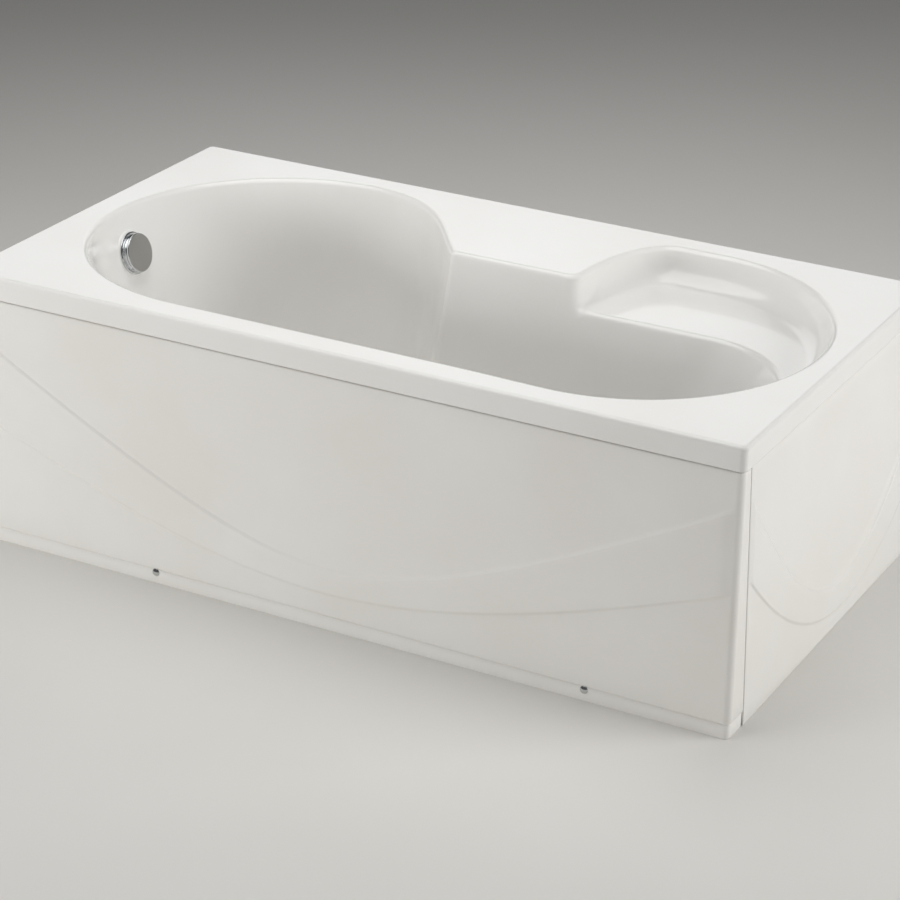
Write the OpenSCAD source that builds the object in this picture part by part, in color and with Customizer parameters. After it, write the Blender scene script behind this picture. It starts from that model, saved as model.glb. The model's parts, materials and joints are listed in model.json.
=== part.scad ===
// Apron-front bathtub for a corner: a formed acrylic shell on a steel frame with levelling feet,
// a front panel and an end panel with a crescent relief, and a pop-up waste worked by a turning
// overflow knob. Millimetres. The origin is on the floor under the middle of the tub, +X points
// to the head end, -Y to the front panel and +Z up.

/* [Overall] */
// Length from the foot-end wall to the head-end panel
tub_l = 1500; // [1450:10:1650]
// Width from the front panel to the back wall
tub_w = 800; // [790:5:850]
// Height of the basin floor at the waste above the ground
floor_z = 125; // [120:1:165]

/* [Deck] */
// Width of the deck at the foot end
deck_foot = 60; // [56:1:75]
// Width of the deck at the head end
deck_head = 45; // [42:1:60]
// Width of the deck along the front
deck_front = 62; // [60:1:75]
// Width of the deck along the back
deck_back = 55; // [52:1:70]
// Height of the down-turned lip
lip_h = 43; // [34:1:46]
// Plan radius of the deck's corners
corner_r = 12; // [9:1:20]
// Radius along the deck's outer edge
edge_r = 4; // [2:0.5:6]
// Radius along the rim of the basin
rim_r = 9; // [7:0.5:11]
// Thickness of the shell
shell_t = 5; // [4:0.5:6]

/* [Basin] */
// Depth from the deck to the basin floor at the waste
basin_depth = 395; // [385:1:400]
// Length of the rounded foot end of the basin
bowl_l = 345; // [330:5:360]
// Length of the rounded head end of the basin
oval_l = 325; // [310:5:340]
// How far the front rim swells towards the head end
front_swell = 4; // [0:1:6]
// How far the foot-end wall leans in over the full depth
foot_lean = 110; // [90:5:130]
// How far the front and back walls lean in over the full depth
side_lean = 54; // [40:2:64]
// How far the backrest leans in over the full depth
head_lean = 275; // [240:5:300]
// Radius between the walls and the basin floor
floor_r = 50; // [40:5:60]
// Fall of the basin floor towards the waste, in a thousand
floor_fall = 5; // [2:1:8]

/* [Ledge and shelf] */
// Length of the deck-level ledge on the back side
ledge_l = 250; // [220:5:280]
// Depth of the ledge from the back rim towards the front
ledge_w = 227; // [210:5:240]
// Distance from the head-end rim to the ledge
ledge_head = 505; // [490:5:520]
// Roll of the ledge's edge towards the foot end
ledge_edge_r = 12; // [10:1:18]
// Depth of the shelf below the deck
shelf_depth = 60; // [54:1:70]
// Length of the curve from the ledge into the back rim over the shelf
shelf_turn = 100; // [80:5:120]
// Roll along the shelf's front edge
shelf_edge_r = 10; // [8:1:12]
// Height of the hollow round between the shelf and the wall above it
shelf_cove = 38; // [30:1:42]

/* [Panels] */
// Thickness of the panels
panel_t = 3; // [2.5:0.5:3.5]
// Height of the crescent relief above the panel's face
relief_h = 3; // [2:0.5:3.5]
// Gap between the lip and the panels
lip_gap = 2; // [1:0.5:3]
// Height of the plinth at the foot of the front panel
plinth_h = 29; // [26:1:34]
// Set-back of the plinth behind the panel's face
plinth_back = 1.5; // [1:0.5:3]
// Set-back of the plinth's corner behind the end panel
plinth_corner = 2; // [1:0.5:6]
// Width of the open joint between the two panels
panel_joint = 3; // [2:0.5:5]
// Width of the front panel's return round the corner, at the top
return_w = 31; // [28:1:34]
// How much wider the return is at the plinth than at the top
return_splay = 28; // [20:2:34]
// Width of the flange along the top of the panels
flange_w = 8; // [7:0.5:8.5]
// Distance of the first panel screw from the foot end
screw_foot = 390; // [340:10:450]
// Distance of the second panel screw from the head end
screw_head = 264; // [230:2:300]
// Height of the panel screws above the floor
screw_z = 21; // [18:1:21]
// Radius of the panel screws' domed heads
screw_head_r = 7.5; // [6:0.5:8]

/* [Frame] */
// Side of the square frame tube
tube = 25; // [22:1:28]
// Side of the square post tube
post = 20; // [18:1:22]
// Wall of the frame and post tubes
tube_wall = 2; // [1.5:0.5:2.5]
// Set-back of the rails from the overall width
rail_inset = 12; // [12:0.5:13]
// Set-back of the rails' ends from the overall length
rail_end = 50; // [46:1:56]
// Thickness of the base board
board_t = 18; // [15:1:18]
// Thickness of the battens under the deck
batten_t = 18; // [15:1:22]
// Width of the battens under the deck
batten_w = 24; // [21:1:26]
// Distance of the feet from the tub's middle line
foot_out = 300; // [220:10:330]
// Radius of the feet's threaded rods
rod_r = 6; // [5:0.5:7]
// Radius of the foot pads
pad_r = 24; // [20:1:28]
// Height of the foot pads
pad_h = 14; // [12:1:16]

/* [Waste and overflow] */
// Distance of the waste from the foot-end rim
drain_in = 260; // [250:2:280]
// Depth of the overflow's centre below the deck
over_depth = 83; // [78:1:90]
// Radius of the overflow's base ring
over_ring_r = 40.5; // [39:0.5:42]
// Radius of the overflow knob's face
knob_r = 36.5; // [35:0.5:38]
// Thickness of the overflow knob
knob_t = 5.5; // [5:0.5:8]
// Length of the waist between the base ring and the knob
waist_l = 7; // [6:0.5:9]
// Radius of the waste flange
flange_r = 35; // [34:0.5:37]
// Radius of the pop-up plug's cap
plug_r = 30; // [27:1:31]
// Outer radius of the overflow hose
hose_r = 16; // [15:0.5:16]
// Radius of the hose's bend
hose_bend = 150; // [130:5:155]
// Radius of the waste outlet pipe
outlet_r = 20; // [19:0.5:21]
// Distance from the waste to the end of the outlet pipe
outlet_l = 340; // [320:5:350]

/* [Hidden] */
$fn = 72;
// Clearance of a running fit, on the radius
fit = 0.05;
// Clearance between pieces that move past each other
gap = 0.3;

// Outlines in plan
half_l = tub_l / 2;
half_w = tub_w / 2;
x_foot = deck_foot - half_l;
x_head = half_l - deck_head;
y_front = deck_front - half_w;
y_back = half_w - deck_back;
bowl_x = x_foot + bowl_l;
oval_x = x_head - oval_l;
ledge_x1 = x_head - ledge_head;
ledge_x0 = ledge_x1 - ledge_l;
ledge_y = y_back - ledge_w;
ledge_corner_r = 25;
drain_x = x_foot + drain_in;

// Heights
tub_h = floor_z + basin_depth;
under_z = floor_z - shell_t;
deck_under = tub_h - shell_t;
lip_z = tub_h - lip_h;
shelf_z = tub_h - shelf_depth;
level_z = shelf_z - shelf_edge_r;
board_z = under_z - board_t;
rail_z = board_z - tube;
batten_z = deck_under - batten_t;
panel_top = lip_z - lip_gap;

// How far the walls have leaned in at the shelf's level
top_share = 0.15;
top_side = 8;
top_head = 45;
top_foot = foot_lean * top_share + 4;
// The backrest's second centre, under the shelf
shelf_end_x = oval_x + 80;
// Centre of the basin floor's round head end
floor_round = 180;
floor_end_x = x_head - head_lean - floor_round;

// Intervals in each stretch of the outlines, counter-clockwise from the front of the head end
n_head = 10;
n_shelf = 16;
n_back = 2;
n_turn = 9;
n_edge = 4;
n_ledge = 3;
n_sweep = 10;
n_bowl = 13;
n_front = 8;

function mix(a, b, t) = a + (b - a) * t;
function unit(v) = v / norm(v);
function bezier2(a, b, c, t) = mix(mix(a, b, t), mix(b, c, t), t);
function bezier3(a, b, c, d, t) = mix(bezier2(a, b, c, t), bezier2(b, c, d, t), t);
function smooth(t) = let (u = max(0, min(1, t))) u * u * (3 - 2 * u);
function on_ellipse(c, rx, ry, a) = [c[0] + rx * cos(a), c[1] + ry * sin(a)];
function last(list) = list[len(list) - 1];

// From the ledge's head-side corner along its front, round its other corner, up the sweep to the
// back rim, round the bowl and along the front. dx, dy, db, df and dl are how far the walls there
// have leaned in: sideways and forwards at the ledge, at the back, the front and the foot end.
function ledge_to_front(x_start, dx, dy, db, df, dl) =
    let (
        corner = [ledge_x0 - dx, ledge_y - dy],
        sweep = ledge_x0 - bowl_x,
        out = unit([-0.27 * sweep, 0.42 * ledge_w]),
        reach = ledge_edge_r * 0.55 + 0.3 * dx,
        start = corner + [reach, 0],
        leave = corner + reach * out,
        pull1 = corner + [-0.27 * sweep, 0.42 * ledge_w],
        pull2 = [bowl_x + 0.54 * sweep, y_back - db],
        end = [bowl_x, y_back - db],
        foot = x_foot + dl,
        bowl_c = [bowl_x, 0]
    )
    concat(
        [for (k = [0 : n_ledge - 1]) mix([x_start, corner[1]], start, k / n_ledge)],
        [for (k = [0 : n_edge - 1]) bezier2(start, corner, leave, k / n_edge)],
        [for (k = [0 : n_sweep - 1]) bezier3(leave, pull1, pull2, end, k / n_sweep)],
        [for (k = [0 : n_bowl - 1])
            on_ellipse(bowl_c, bowl_x - foot, y_back - db, 90 + 90 * k / n_bowl)],
        [for (k = [0 : n_bowl - 1])
            on_ellipse(bowl_c, bowl_x - foot, -y_front - df, 180 + 90 * k / n_bowl)]
    );

// Opening of the basin in the deck
rim_turn = asin(ledge_corner_r / ledge_w);
rim_line = concat(
    [for (k = [0 : n_head - 1])
        on_ellipse([oval_x, 0], oval_l, front_swell - y_front, -90 + 70 * k / n_head)],
    [for (k = [0 : n_shelf - 1])
        let (a = -20 + 110 * k / n_shelf)
        on_ellipse([oval_x, 0], oval_l, a < 0 ? front_swell - y_front : y_back, a)],
    [for (k = [0 : n_back - 1])
        mix([oval_x, y_back], [ledge_x1 + shelf_turn, y_back], k / n_back)],
    [for (k = [0 : n_turn - 1])
        on_ellipse([ledge_x1 + shelf_turn, ledge_y], shelf_turn, ledge_w,
            90 + (90 - rim_turn) * k / n_turn)],
    [for (k = [0 : n_edge - 1])
        bezier2([ledge_x1, ledge_y + ledge_corner_r], [ledge_x1, ledge_y],
            [ledge_x1 - ledge_corner_r, ledge_y], k / n_edge)],
    ledge_to_front(ledge_x1 - ledge_corner_r, 0, 0, 0, 0, 0),
    [for (k = [0 : n_front - 1])
        let (x = mix(bowl_x, oval_x, k / n_front))
        [x, y_front - front_swell * smooth((x - ledge_x1) / (oval_x - ledge_x1))]]
);

// Outline of the hollow below the shelf: front and ledge walls at y0 and y1, head end at x_end,
// upper and lower quarters of the head end centred at cx1 and cx0
function hollow(y0, y1, x_end, cx0, cx1, x_back, x_turn) =
    let (cy = (y0 + y1) / 2, ry = (y1 - y0) / 2)
    concat(
        [for (k = [0 : n_head - 1]) on_ellipse([cx0, cy], x_end - cx0, ry, -90 + 90 * k / n_head)],
        [for (k = [0 : n_shelf - 1])
            let (t = k / n_shelf / 0.85)
            t < 1 ? on_ellipse([cx1, cy], x_end - cx1, ry, 90 * t)
                : [mix(cx1, x_back, (t - 1) * 0.85 / 0.15), y1]],
        [for (k = [0 : n_back - 1]) [mix(x_back, x_turn, k / n_back), y1]],
        [for (k = [0 : n_turn - 1]) [mix(x_turn, ledge_x1, k / n_turn), y1]],
        [for (k = [0 : n_edge - 1]) [mix(ledge_x1, ledge_x1 - ledge_corner_r, k / n_edge), y1]]
    );
function hollow_front(y0) =
    [for (k = [0 : n_front - 1]) [mix(bowl_x, oval_x, k / n_front), y0]];

// The walls where the shelf's edge ends
ledge_lean = top_side * 0.75;
level_line = concat(
    hollow(y_front + top_side, ledge_y - ledge_lean, x_head - top_head, oval_x, shelf_end_x,
        oval_x + 20, ledge_x1 + shelf_turn + 20),
    ledge_to_front(ledge_x1 - ledge_corner_r, ledge_lean, ledge_lean, top_side, top_side, top_foot),
    hollow_front(y_front + top_side)
);

// The walls where they would meet the basin floor if there were no radius
ledge_foot_lean = side_lean * 0.9;
base_line = concat(
    hollow(y_front + side_lean, ledge_y - ledge_foot_lean, x_head - head_lean, floor_end_x,
        floor_end_x, ledge_x1 + 35, ledge_x1 + 25),
    ledge_to_front(ledge_x1 - ledge_corner_r, side_lean * 0.65, ledge_foot_lean, side_lean,
        side_lean, foot_lean),
    [for (k = [0 : n_front - 1])
        [mix(bowl_x, floor_end_x, k / n_front), y_front + side_lean]]
);

n_ring = len(rim_line);
function at(list, i) = list[(i + n_ring) % n_ring];
function along(list, i) = unit(at(list, i + 1) - at(list, i - 1));
function inward(list, i) = let (t = along(list, i)) [-t[1], t[0]];

// Deck edge, taken in by d, with the same number of points as the outlines
function deck_line(d) =
    let (
        x = half_l - d, y = half_w - d, r = corner_r - d,
        cx = half_l - corner_r, cy = half_w - corner_r,
        y_split = -0.35 * half_w
    )
    concat(
        [for (k = [0 : 3]) [mix(oval_x, cx, k / 4), -y]],
        [for (k = [0 : 3]) [cx + r * sin(30 * k), -cy - r * cos(30 * k)]],
        [for (k = [1 : 2]) [x, mix(-cy, y_split, k / 3)]],
        [for (k = [0 : 7]) [x, mix(y_split, cy, k / 8)]],
        [for (k = [0 : 3]) [cx + r * cos(30 * k), cy + r * sin(30 * k)]],
        [for (k = [1 : 4]) [mix(cx, oval_x, k / 5), y]],
        [for (k = [0 : n_back - 1]) [mix(oval_x, ledge_x1 + shelf_turn, k / n_back), y]],
        [for (k = [0 : n_turn - 1]) [mix(ledge_x1 + shelf_turn, ledge_x1, k / n_turn), y]],
        [for (k = [0 : n_edge - 1]) [ledge_x1 - ledge_corner_r * k / n_edge, y]],
        [for (k = [0 : n_ledge + n_edge - 1])
            [mix(ledge_x1 - ledge_corner_r, ledge_x0, k / (n_ledge + n_edge)), y]],
        [for (k = [0 : n_sweep - 1]) [mix(ledge_x0, bowl_x, k / n_sweep), y]],
        [for (k = [0 : 5]) [mix(bowl_x, -cx, k / 6), y]],
        [for (k = [0 : 3]) [-cx - r * sin(30 * k), cy + r * cos(30 * k)]],
        [for (k = [1 : 6]) [-x, mix(cy, -cy, k / 7)]],
        [for (k = [0 : 3]) [-cx - r * cos(30 * k), -cy - r * sin(30 * k)]],
        [for (k = [1 : 6]) [mix(-cx, bowl_x, k / 7), -y]],
        [for (k = [0 : n_front - 1]) [mix(bowl_x, oval_x, k / n_front), -y]]
    );

// One point of the basin's inner face. Rows run from the deck (0) down to the floor (16); fall is
// the floor's fall in a thousand.
last_row = 16;
function basin_point(row, i, fall) =
    row < 3 ? rim_point(row, i) : row < 10 ? shelf_point(row, i) : wall_point(row, i, fall);

function rim_point(row, i) =
    let (p = rim_line[i] - rim_r * (1 - sin(45 * row)) * inward(rim_line, i))
    [p[0], p[1], tub_h - rim_r * (1 - cos(45 * row))];

// Between the rim and the shelf's edge the wall is a plain slope, or the wall, cove, shelf and
// edge where the shelf is wide
function shelf_point(row, i) =
    let (
        p = rim_line[i], q = level_line[i], s = norm(q - p), e = unit(q - p),
        wide = smooth((s - 25) / 65), k = min(1, s / 100),
        share = [0.25, 0.4, 0.55, 0.7, 0.82, 0.92, 1][row - 3],
        z = mix(tub_h - rim_r, level_z, share),
        plain = [s * share, z],
        top = [10 * k, shelf_z + shelf_cove],
        bend = [22 * k, shelf_z + 2],
        flat = [(24 + shelf_cove) * k, shelf_z + 2],
        r = shelf_edge_r,
        edge = row < 7 ? bezier2(top, bend, flat, (row - 3) / 3)
            : [s - r * k * (1 - sin(45 * (row - 7))), shelf_z - r * (1 - cos(45 * (row - 7)))],
        m = mix(plain, edge, wide),
        xy = p + e * m[0]
    )
    [xy[0], xy[1], m[1]];

function wall_point(row, i, fall) =
    let (
        p = level_line[i], q = base_line[i],
        lip = (level_z - floor_z - floor_r) / (level_z - floor_z),
        turn = mix(p, q, lip),
        flat = q + floor_r * inward(base_line, i),
        t = max(0, (row - 12) / 4),
        down = lip * min(1, (row - 9) / 3),
        xy = row < 13 ? mix(p, q, down) : bezier2(turn, q, flat, t),
        z = row < 13 ? mix(level_z, floor_z, down) : bezier2(floor_z + floor_r, floor_z, floor_z, t)
    )
    [xy[0], xy[1], z + t * fall * (xy[0] - drain_x) / 1000];

// The outer face lies one shell thickness behind the inner one
function skin_point(row, i) =
    row == 0 ? rim_point(0, i) - [0, 0, shell_t]
    : row == last_row ? wall_point(last_row, i, 0) - [0, 0, shell_t]
    : let (
        a = basin_point(row, (i + 1) % n_ring, 0) - basin_point(row, (i + n_ring - 1) % n_ring, 0),
        b = basin_point(row + 1, i, 0) - basin_point(row - 1, i, 0)
    )
    basin_point(row, i, 0) + shell_t * unit(cross(b, a));

function row_at_z(line, z) = [for (p = line) [p[0], p[1], z]];
skin_rows = [0, 2, 3, 5, 6, 7, 9, 11, 12, 14, 16];
shell_rows = concat(
    [for (row = [last_row : -1 : 0])
        [for (i = [0 : n_ring - 1]) basin_point(row, i, floor_fall)]],
    [row_at_z(deck_line(edge_r), tub_h)],
    [row_at_z(deck_line(edge_r * 0.3), tub_h - edge_r * 0.3)],
    [row_at_z(deck_line(0), tub_h - edge_r)],
    [row_at_z(deck_line(0), lip_z)],
    [row_at_z(deck_line(shell_t), lip_z)],
    [row_at_z(deck_line(shell_t), deck_under)],
    [for (row = skin_rows) [for (i = [0 : n_ring - 1]) skin_point(row, i)]]
);

function middle(row) = [for (p = row) 1 / len(row)] * row;
// A closed skin over rows of n points each, its two ends fanned out from their middles
module lofted(rows, n) {
    count = len(rows);
    first = n * count;
    points = concat([for (row = rows) each row], [middle(rows[0]), middle(rows[count - 1])]);
    sides = [
        for (k = [0 : count - 2]) for (i = [0 : n - 1])
            let (a = k * n + i, b = k * n + (i + 1) % n)
            each [[a, b, b + n], [a, b + n, a + n]]
    ];
    ends = [
        for (i = [0 : n - 1])
            let (j = (i + 1) % n, k = (count - 1) * n)
            each [[first, j, i], [first + 1, k + i, k + j]]
    ];
    polyhedron(points = points, faces = concat(sides, ends), convexity = 10);
}

// Overflow: where its axis meets the foot-end wall, and how the wall leans there
over_z = tub_h - over_depth;
over_lean = (foot_lean - top_foot) / (level_z - floor_z);
over_x = x_foot + top_foot - (over_z - level_z) * over_lean;
over_tilt = atan(over_lean);
seat_proud = 3.5;
seat_back = shell_t + 3;
seat_r = over_ring_r + 2;
neck_r = 25;
neck_wall = 3;
neck_hole = neck_r + 1;
// Local +X is the overflow's axis, out of the wall and into the basin, from the wall's face
module at_overflow() {
    translate([over_x, 0, over_z]) rotate([0, -over_tilt, 0]) children();
}
// Turns a profile about the local X axis
module turned_x() {
    rotate([0, 90, 0]) rotate_extrude() children();
}
module ring(r_out, r_in, h) {
    difference() {
        cylinder(r = r_out, h = h);
        translate([0, 0, -1]) cylinder(r = r_in, h = h + 2);
    }
}

waste_seat = 1.5;
waste_pad = 4;
waste_seat_z = floor_z - waste_seat;
waste_pad_z = under_z - waste_pad;

module tub_shell() {
    color("#f2f1ec") difference() {
        union() {
            lofted(shell_rows, n_ring);
            at_overflow() translate([-seat_back, 0, 0]) rotate([0, 90, 0])
                cylinder(r = seat_r, h = seat_back + seat_proud);
            translate([drain_x, 0, waste_pad_z])
                cylinder(r = flange_r + 4, h = waste_pad + shell_t / 2);
        }
        at_overflow() translate([-seat_back - 5, 0, 0]) rotate([0, 90, 0])
            cylinder(r = neck_hole, h = seat_back + seat_proud + 10);
        translate([drain_x, 0, waste_pad_z - 5]) cylinder(r = neck_hole, h = 60);
        translate([drain_x, 0, waste_seat_z]) cylinder(r = flange_r + gap, h = 20);
    }
}

// Base board bonded under the flat of the basin floor
board_x0 = drain_x + 90;
board_x1 = x_head - head_lean - floor_r - 80;
board_y0 = y_front + side_lean + floor_r + 12;
board_y1 = ledge_y - ledge_foot_lean - floor_r - 12;
module base_board() {
    color("#c8a873") translate([board_x0, board_y0, board_z])
        cube([board_x1 - board_x0, board_y1 - board_y0, board_t]);
}

// Frame
rail_y = half_w - rail_inset;
rail_l = tub_l - 2 * rail_end;
module square_tube(side, length) {
    difference() {
        translate([0, -side / 2, -side / 2]) cube([length, side, side]);
        translate([-1, tube_wall - side / 2, tube_wall - side / 2])
            cube([length + 2, side - 2 * tube_wall, side - 2 * tube_wall]);
    }
}
module batten(side) {
    color("#c9b083") translate([-rail_l / 2, side > 0 ? rail_y - batten_w : -rail_y, batten_z])
        cube([rail_l, batten_w, batten_t]);
}
rail_mid = rail_y - tube / 2;
module rail(side) {
    color("#8f9396") translate([-rail_l / 2, side * rail_mid, rail_z + tube / 2])
        square_tube(tube, rail_l);
}
bar_l = 2 * (rail_y - tube);
bar_end_x = rail_l / 2 - tube / 2;
bar_x = [-bar_end_x, board_x0 + 40, (board_x0 + board_x1) / 2, board_x1 - 40, bar_end_x];
foot_places = [for (y = [-foot_out, foot_out]) for (x = [-bar_end_x, bar_end_x]) [x, y]];
// The two end bars carry the feet and are drilled for their rods
module cross_bar(i) {
    color("#8f9396") difference() {
        translate([bar_x[i], -bar_l / 2, rail_z + tube / 2]) rotate([0, 0, 90])
            square_tube(tube, bar_l);
        for (p = foot_places)
            translate([p[0], p[1], rail_z - 1]) cylinder(r = rod_r + gap, h = tube + 2);
    }
}
post_x = [-rail_l / 2 + post / 2, 0, rail_l / 2 - post / 2];
module frame_post(i, side) {
    color("#8f9396") translate([post_x[i], side * (rail_y - post / 2), board_z])
        rotate([0, -90, 0]) square_tube(post, batten_z - board_z);
}

// Feet
nut_h = 10;
nut_r = rod_r * 1.75;
rod_socket = 8;
rod_top = rail_z + tube + 4;
module hex_nut() {
    difference() {
        cylinder(r = nut_r, h = nut_h, $fn = 6);
        translate([0, 0, -1]) cylinder(r = rod_r + fit, h = nut_h + 2);
    }
}
module weld_nuts() {
    color("#9da1a4") for (p = foot_places) translate([p[0], p[1], rail_z - nut_h]) hex_nut();
}
module foot_rod(i) {
    color("#b5b8ba") translate([foot_places[i][0], foot_places[i][1], pad_h - rod_socket])
        cylinder(r = rod_r, h = rod_top - pad_h + rod_socket);
}
module foot_lock_nut(i) {
    color("#b5b8ba") translate([foot_places[i][0], foot_places[i][1], rail_z - 2 * nut_h - gap])
        hex_nut();
}
module foot_pad(i) {
    color("#3c3c3c") translate([foot_places[i][0], foot_places[i][1], 0]) difference() {
        union() {
            cylinder(r = pad_r, h = pad_h / 2);
            cylinder(r1 = pad_r, r2 = rod_r + 6, h = pad_h);
        }
        translate([0, 0, pad_h - rod_socket]) cylinder(r = rod_r + fit, h = rod_socket + 1);
    }
}

// Panels: each is a band between two lines in plan. ax and ay take the line in from the outer
// face at the end and at the front.
face = relief_h;
wall_gap = 2;
panel_r = corner_r;
face_x = half_l - face;
face_y = half_w - face;
return_y = -half_w + return_w + return_splay;
function front_line(ax, ay) =
    let (r = panel_r - max(ax, ay), cx = face_x - ax - r, cy = -face_y + ay + r)
    concat(
        [[-half_l + wall_gap, -face_y + ay]],
        [for (a = [-90 : 15 : 0]) [cx + r * cos(a), cy + r * sin(a)]],
        [[face_x - ax, return_y]]
    );
function backwards(list) = [for (i = [len(list) - 1 : -1 : 0]) list[i]];
module front_band(a, b, z0, z1) {
    translate([0, 0, z0]) linear_extrude(z1 - z0)
        polygon(concat(front_line(a[0], a[1]), backwards(front_line(b[0], b[1]))));
}
// The relief's edges are hyperbolas: lowest height z, where that is, slope far out, and how soft
// the bottom of the curve is
function crescent(e, x) = e[0] + sqrt(e[3] * e[3] + pow(e[2] * (x - e[1]), 2)) - e[3];
front_high = [119, -3, 0.59, 182];
front_low = [71.5, -12, 0.483, 249];
end_high = [88, 70, 2.05, 1008];
end_low = [33, 83, 2.27, 1941];
function crescent_area(high, low, x0, x1) = concat(
    [for (k = [0 : 40]) let (x = mix(x0, x1, k / 40)) [x, crescent(high, x)]],
    [for (k = [40 : -1 : 0]) let (x = mix(x0, x1, k / 40)) [x, crescent(low, x)]]
);
// The joint between the panels leans: y at height z of the return's edge
joint_top = -half_w + return_w;
joint_lean = atan(return_splay / (panel_top - plinth_h));
// Everything behind the joint's front side, moved back by d
corner_zone = 60;
module behind_joint(d) {
    translate([half_l - corner_zone, joint_top + d, panel_top]) rotate([joint_lean, 0, 0])
        translate([0, 0, -tub_h]) cube([2 * corner_zone, 2 * tub_w, 2 * tub_h]);
}
plinth = [plinth_corner, plinth_back];
function deeper(a, t) = [a[0] + t, a[1] + t];
screw_places = [-half_l + screw_foot, half_l - screw_head];
shank_r = 3;
module front_panel() {
    color("#e4e1dc") difference() {
        union() {
            difference() {
                union() {
                    front_band([0, 0], [panel_t, panel_t], plinth_h, panel_top);
                    front_band([0, 0], [flange_w, flange_w], panel_top - panel_t, panel_top);
                    intersection() {
                        front_band([-relief_h, -relief_h], [0.5, 0.5], plinth_h, panel_top);
                        translate([0, half_w, 0]) rotate([90, 0, 0]) linear_extrude(tub_w + 20)
                            polygon(crescent_area(front_high, front_low, -half_l, half_l + 10));
                    }
                }
                behind_joint(0);
            }
            front_band([0, 0], deeper(plinth, panel_t), plinth_h, plinth_h + panel_t);
            front_band(plinth, deeper(plinth, panel_t), 0, plinth_h + 0.5);
        }
        for (x = screw_places) translate([x, -half_w - 10, screw_z]) rotate([-90, 0, 0])
            cylinder(r = shank_r + 0.2, h = 30);
    }
}
end_y1 = half_w - 3;
module end_panel() {
    color("#dedcd8") difference() {
        union() {
            translate([face_x - panel_t, -half_w, 0]) cube([panel_t, half_w + end_y1, panel_top]);
            translate([face_x - flange_w, -half_w, panel_top - panel_t])
                cube([flange_w, half_w + end_y1, panel_t]);
            intersection() {
                translate([face_x - 0.5, -half_w, 0])
                    cube([relief_h + 0.5, half_w + end_y1, panel_top]);
                translate([half_l - corner_zone, 0, 0]) rotate([90, 0, 90])
                    linear_extrude(2 * corner_zone)
                    polygon(crescent_area(end_high, end_low, -half_w, half_w));
            }
        }
        difference() {
            translate([half_l - corner_zone, -half_w - 1, -1])
                cube([2 * corner_zone, tub_w + 2, tub_h]);
            behind_joint(panel_joint);
        }
        translate([half_l - corner_zone, -half_w - 1, -1])
            cube([2 * corner_zone, return_y + half_w + gap + 1, plinth_h + panel_t + 1]);
    }
}

// Fixings of the panels
clip_w = 30;
clip_t = 3;
clip_x = [-rail_l * 0.4, -rail_l * 0.14, rail_l * 0.14, rail_l * 0.4];
end_clip_y = [-half_w * 0.6, 0, half_w * 0.6];
module panel_clips() {
    color("#a8abad") {
        for (x = clip_x) translate([x - clip_w / 2, -rail_y - clip_t, panel_top])
            cube([clip_w, clip_t, deck_under - 3 - panel_top]);
        for (y = end_clip_y)
            translate([face_x - flange_w, y - clip_w / 2, panel_top])
                cube([clip_t, clip_w, deck_under - panel_top]);
    }
}
bracket_low = 8;
plinth_inner = -face_y + plinth_back + panel_t;
module panel_brackets() {
    color("#a8abad") for (x = screw_places) difference() {
        translate([x - clip_w / 2, plinth_inner, bracket_low])
            cube([clip_w, -rail_y - plinth_inner, rail_z + tube - bracket_low]);
        translate([x, -half_w, screw_z]) rotate([-90, 0, 0]) cylinder(r = shank_r + 0.2, h = 40);
    }
}
// The end panel's brackets stand on the head-end bar, clear of the joint between the panels
end_bracket_y = rail_mid - 2 * tube;
module end_brackets() {
    color("#a8abad") for (side = [-1, 1])
        translate([rail_l / 2, side * end_bracket_y - tube / 2, rail_z]) {
            cube([face_x - panel_t - rail_l / 2, tube, clip_t]);
            cube([clip_t, tube, tube]);
            translate([face_x - panel_t - rail_l / 2 - clip_t, 0, 0]) cube([clip_t, tube, tube]);
        }
}
screw_dome = 4;
module panel_screws() {
    color("#c9ccd0") for (x = screw_places)
        translate([x, -face_y + plinth_back, screw_z]) rotate([90, 0, 0]) {
            dome_r = (screw_head_r * screw_head_r + screw_dome * screw_dome) / (2 * screw_dome);
            intersection() {
                translate([0, 0, screw_dome - dome_r]) sphere(r = dome_r);
                cylinder(r = screw_head_r, h = screw_dome + 1);
            }
            translate([0, 0, -16]) cylinder(r = shank_r, h = 16.5);
        }
}

// Overflow
ring_front = seat_proud + 3.5;
waist_end = ring_front + waist_l;
body_front = -seat_back - 3;
spindle_r = 5;
module overflow_faceplate() {
    color("#d3d6d9") at_overflow() difference() {
        union() {
            turned_x() polygon([
                [neck_r - neck_wall, body_front - 4],
                [neck_r, body_front - 4],
                [neck_r, seat_proud],
                [over_ring_r - 1, seat_proud],
                [over_ring_r, seat_proud + 1],
                [over_ring_r, ring_front - 1.5],
                [over_ring_r - 1, ring_front - 0.5],
                [over_ring_r - 2.5, ring_front],
                [knob_r - 5, ring_front],
                [knob_r - 6.5, ring_front + waist_l * 0.15],
                [knob_r - 6.5, ring_front + waist_l * 0.85],
                [knob_r - 5, waist_end],
                [neck_r - neck_wall, waist_end]
            ]);
            translate([body_front - 4, 0, 0]) rotate([0, 90, 0]) cylinder(r = 9, h = 12);
            for (a = [0 : 120 : 240]) rotate([a, 0, 0])
                translate([body_front - 4, 4, -2]) cube([8, neck_r - neck_wall - 3, 4]);
        }
        translate([body_front - 10, 0, 0]) rotate([0, 90, 0])
            cylinder(r = spindle_r + fit, h = 60);
        for (a = [-35, 0, 35]) rotate([a, 0, 0])
            translate([ring_front + waist_l * 0.22, -4, -over_ring_r])
                cube([waist_l * 0.56, 8, over_ring_r - neck_r + neck_wall + 2]);
    }
}
knob_back = waist_end + gap;
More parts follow.
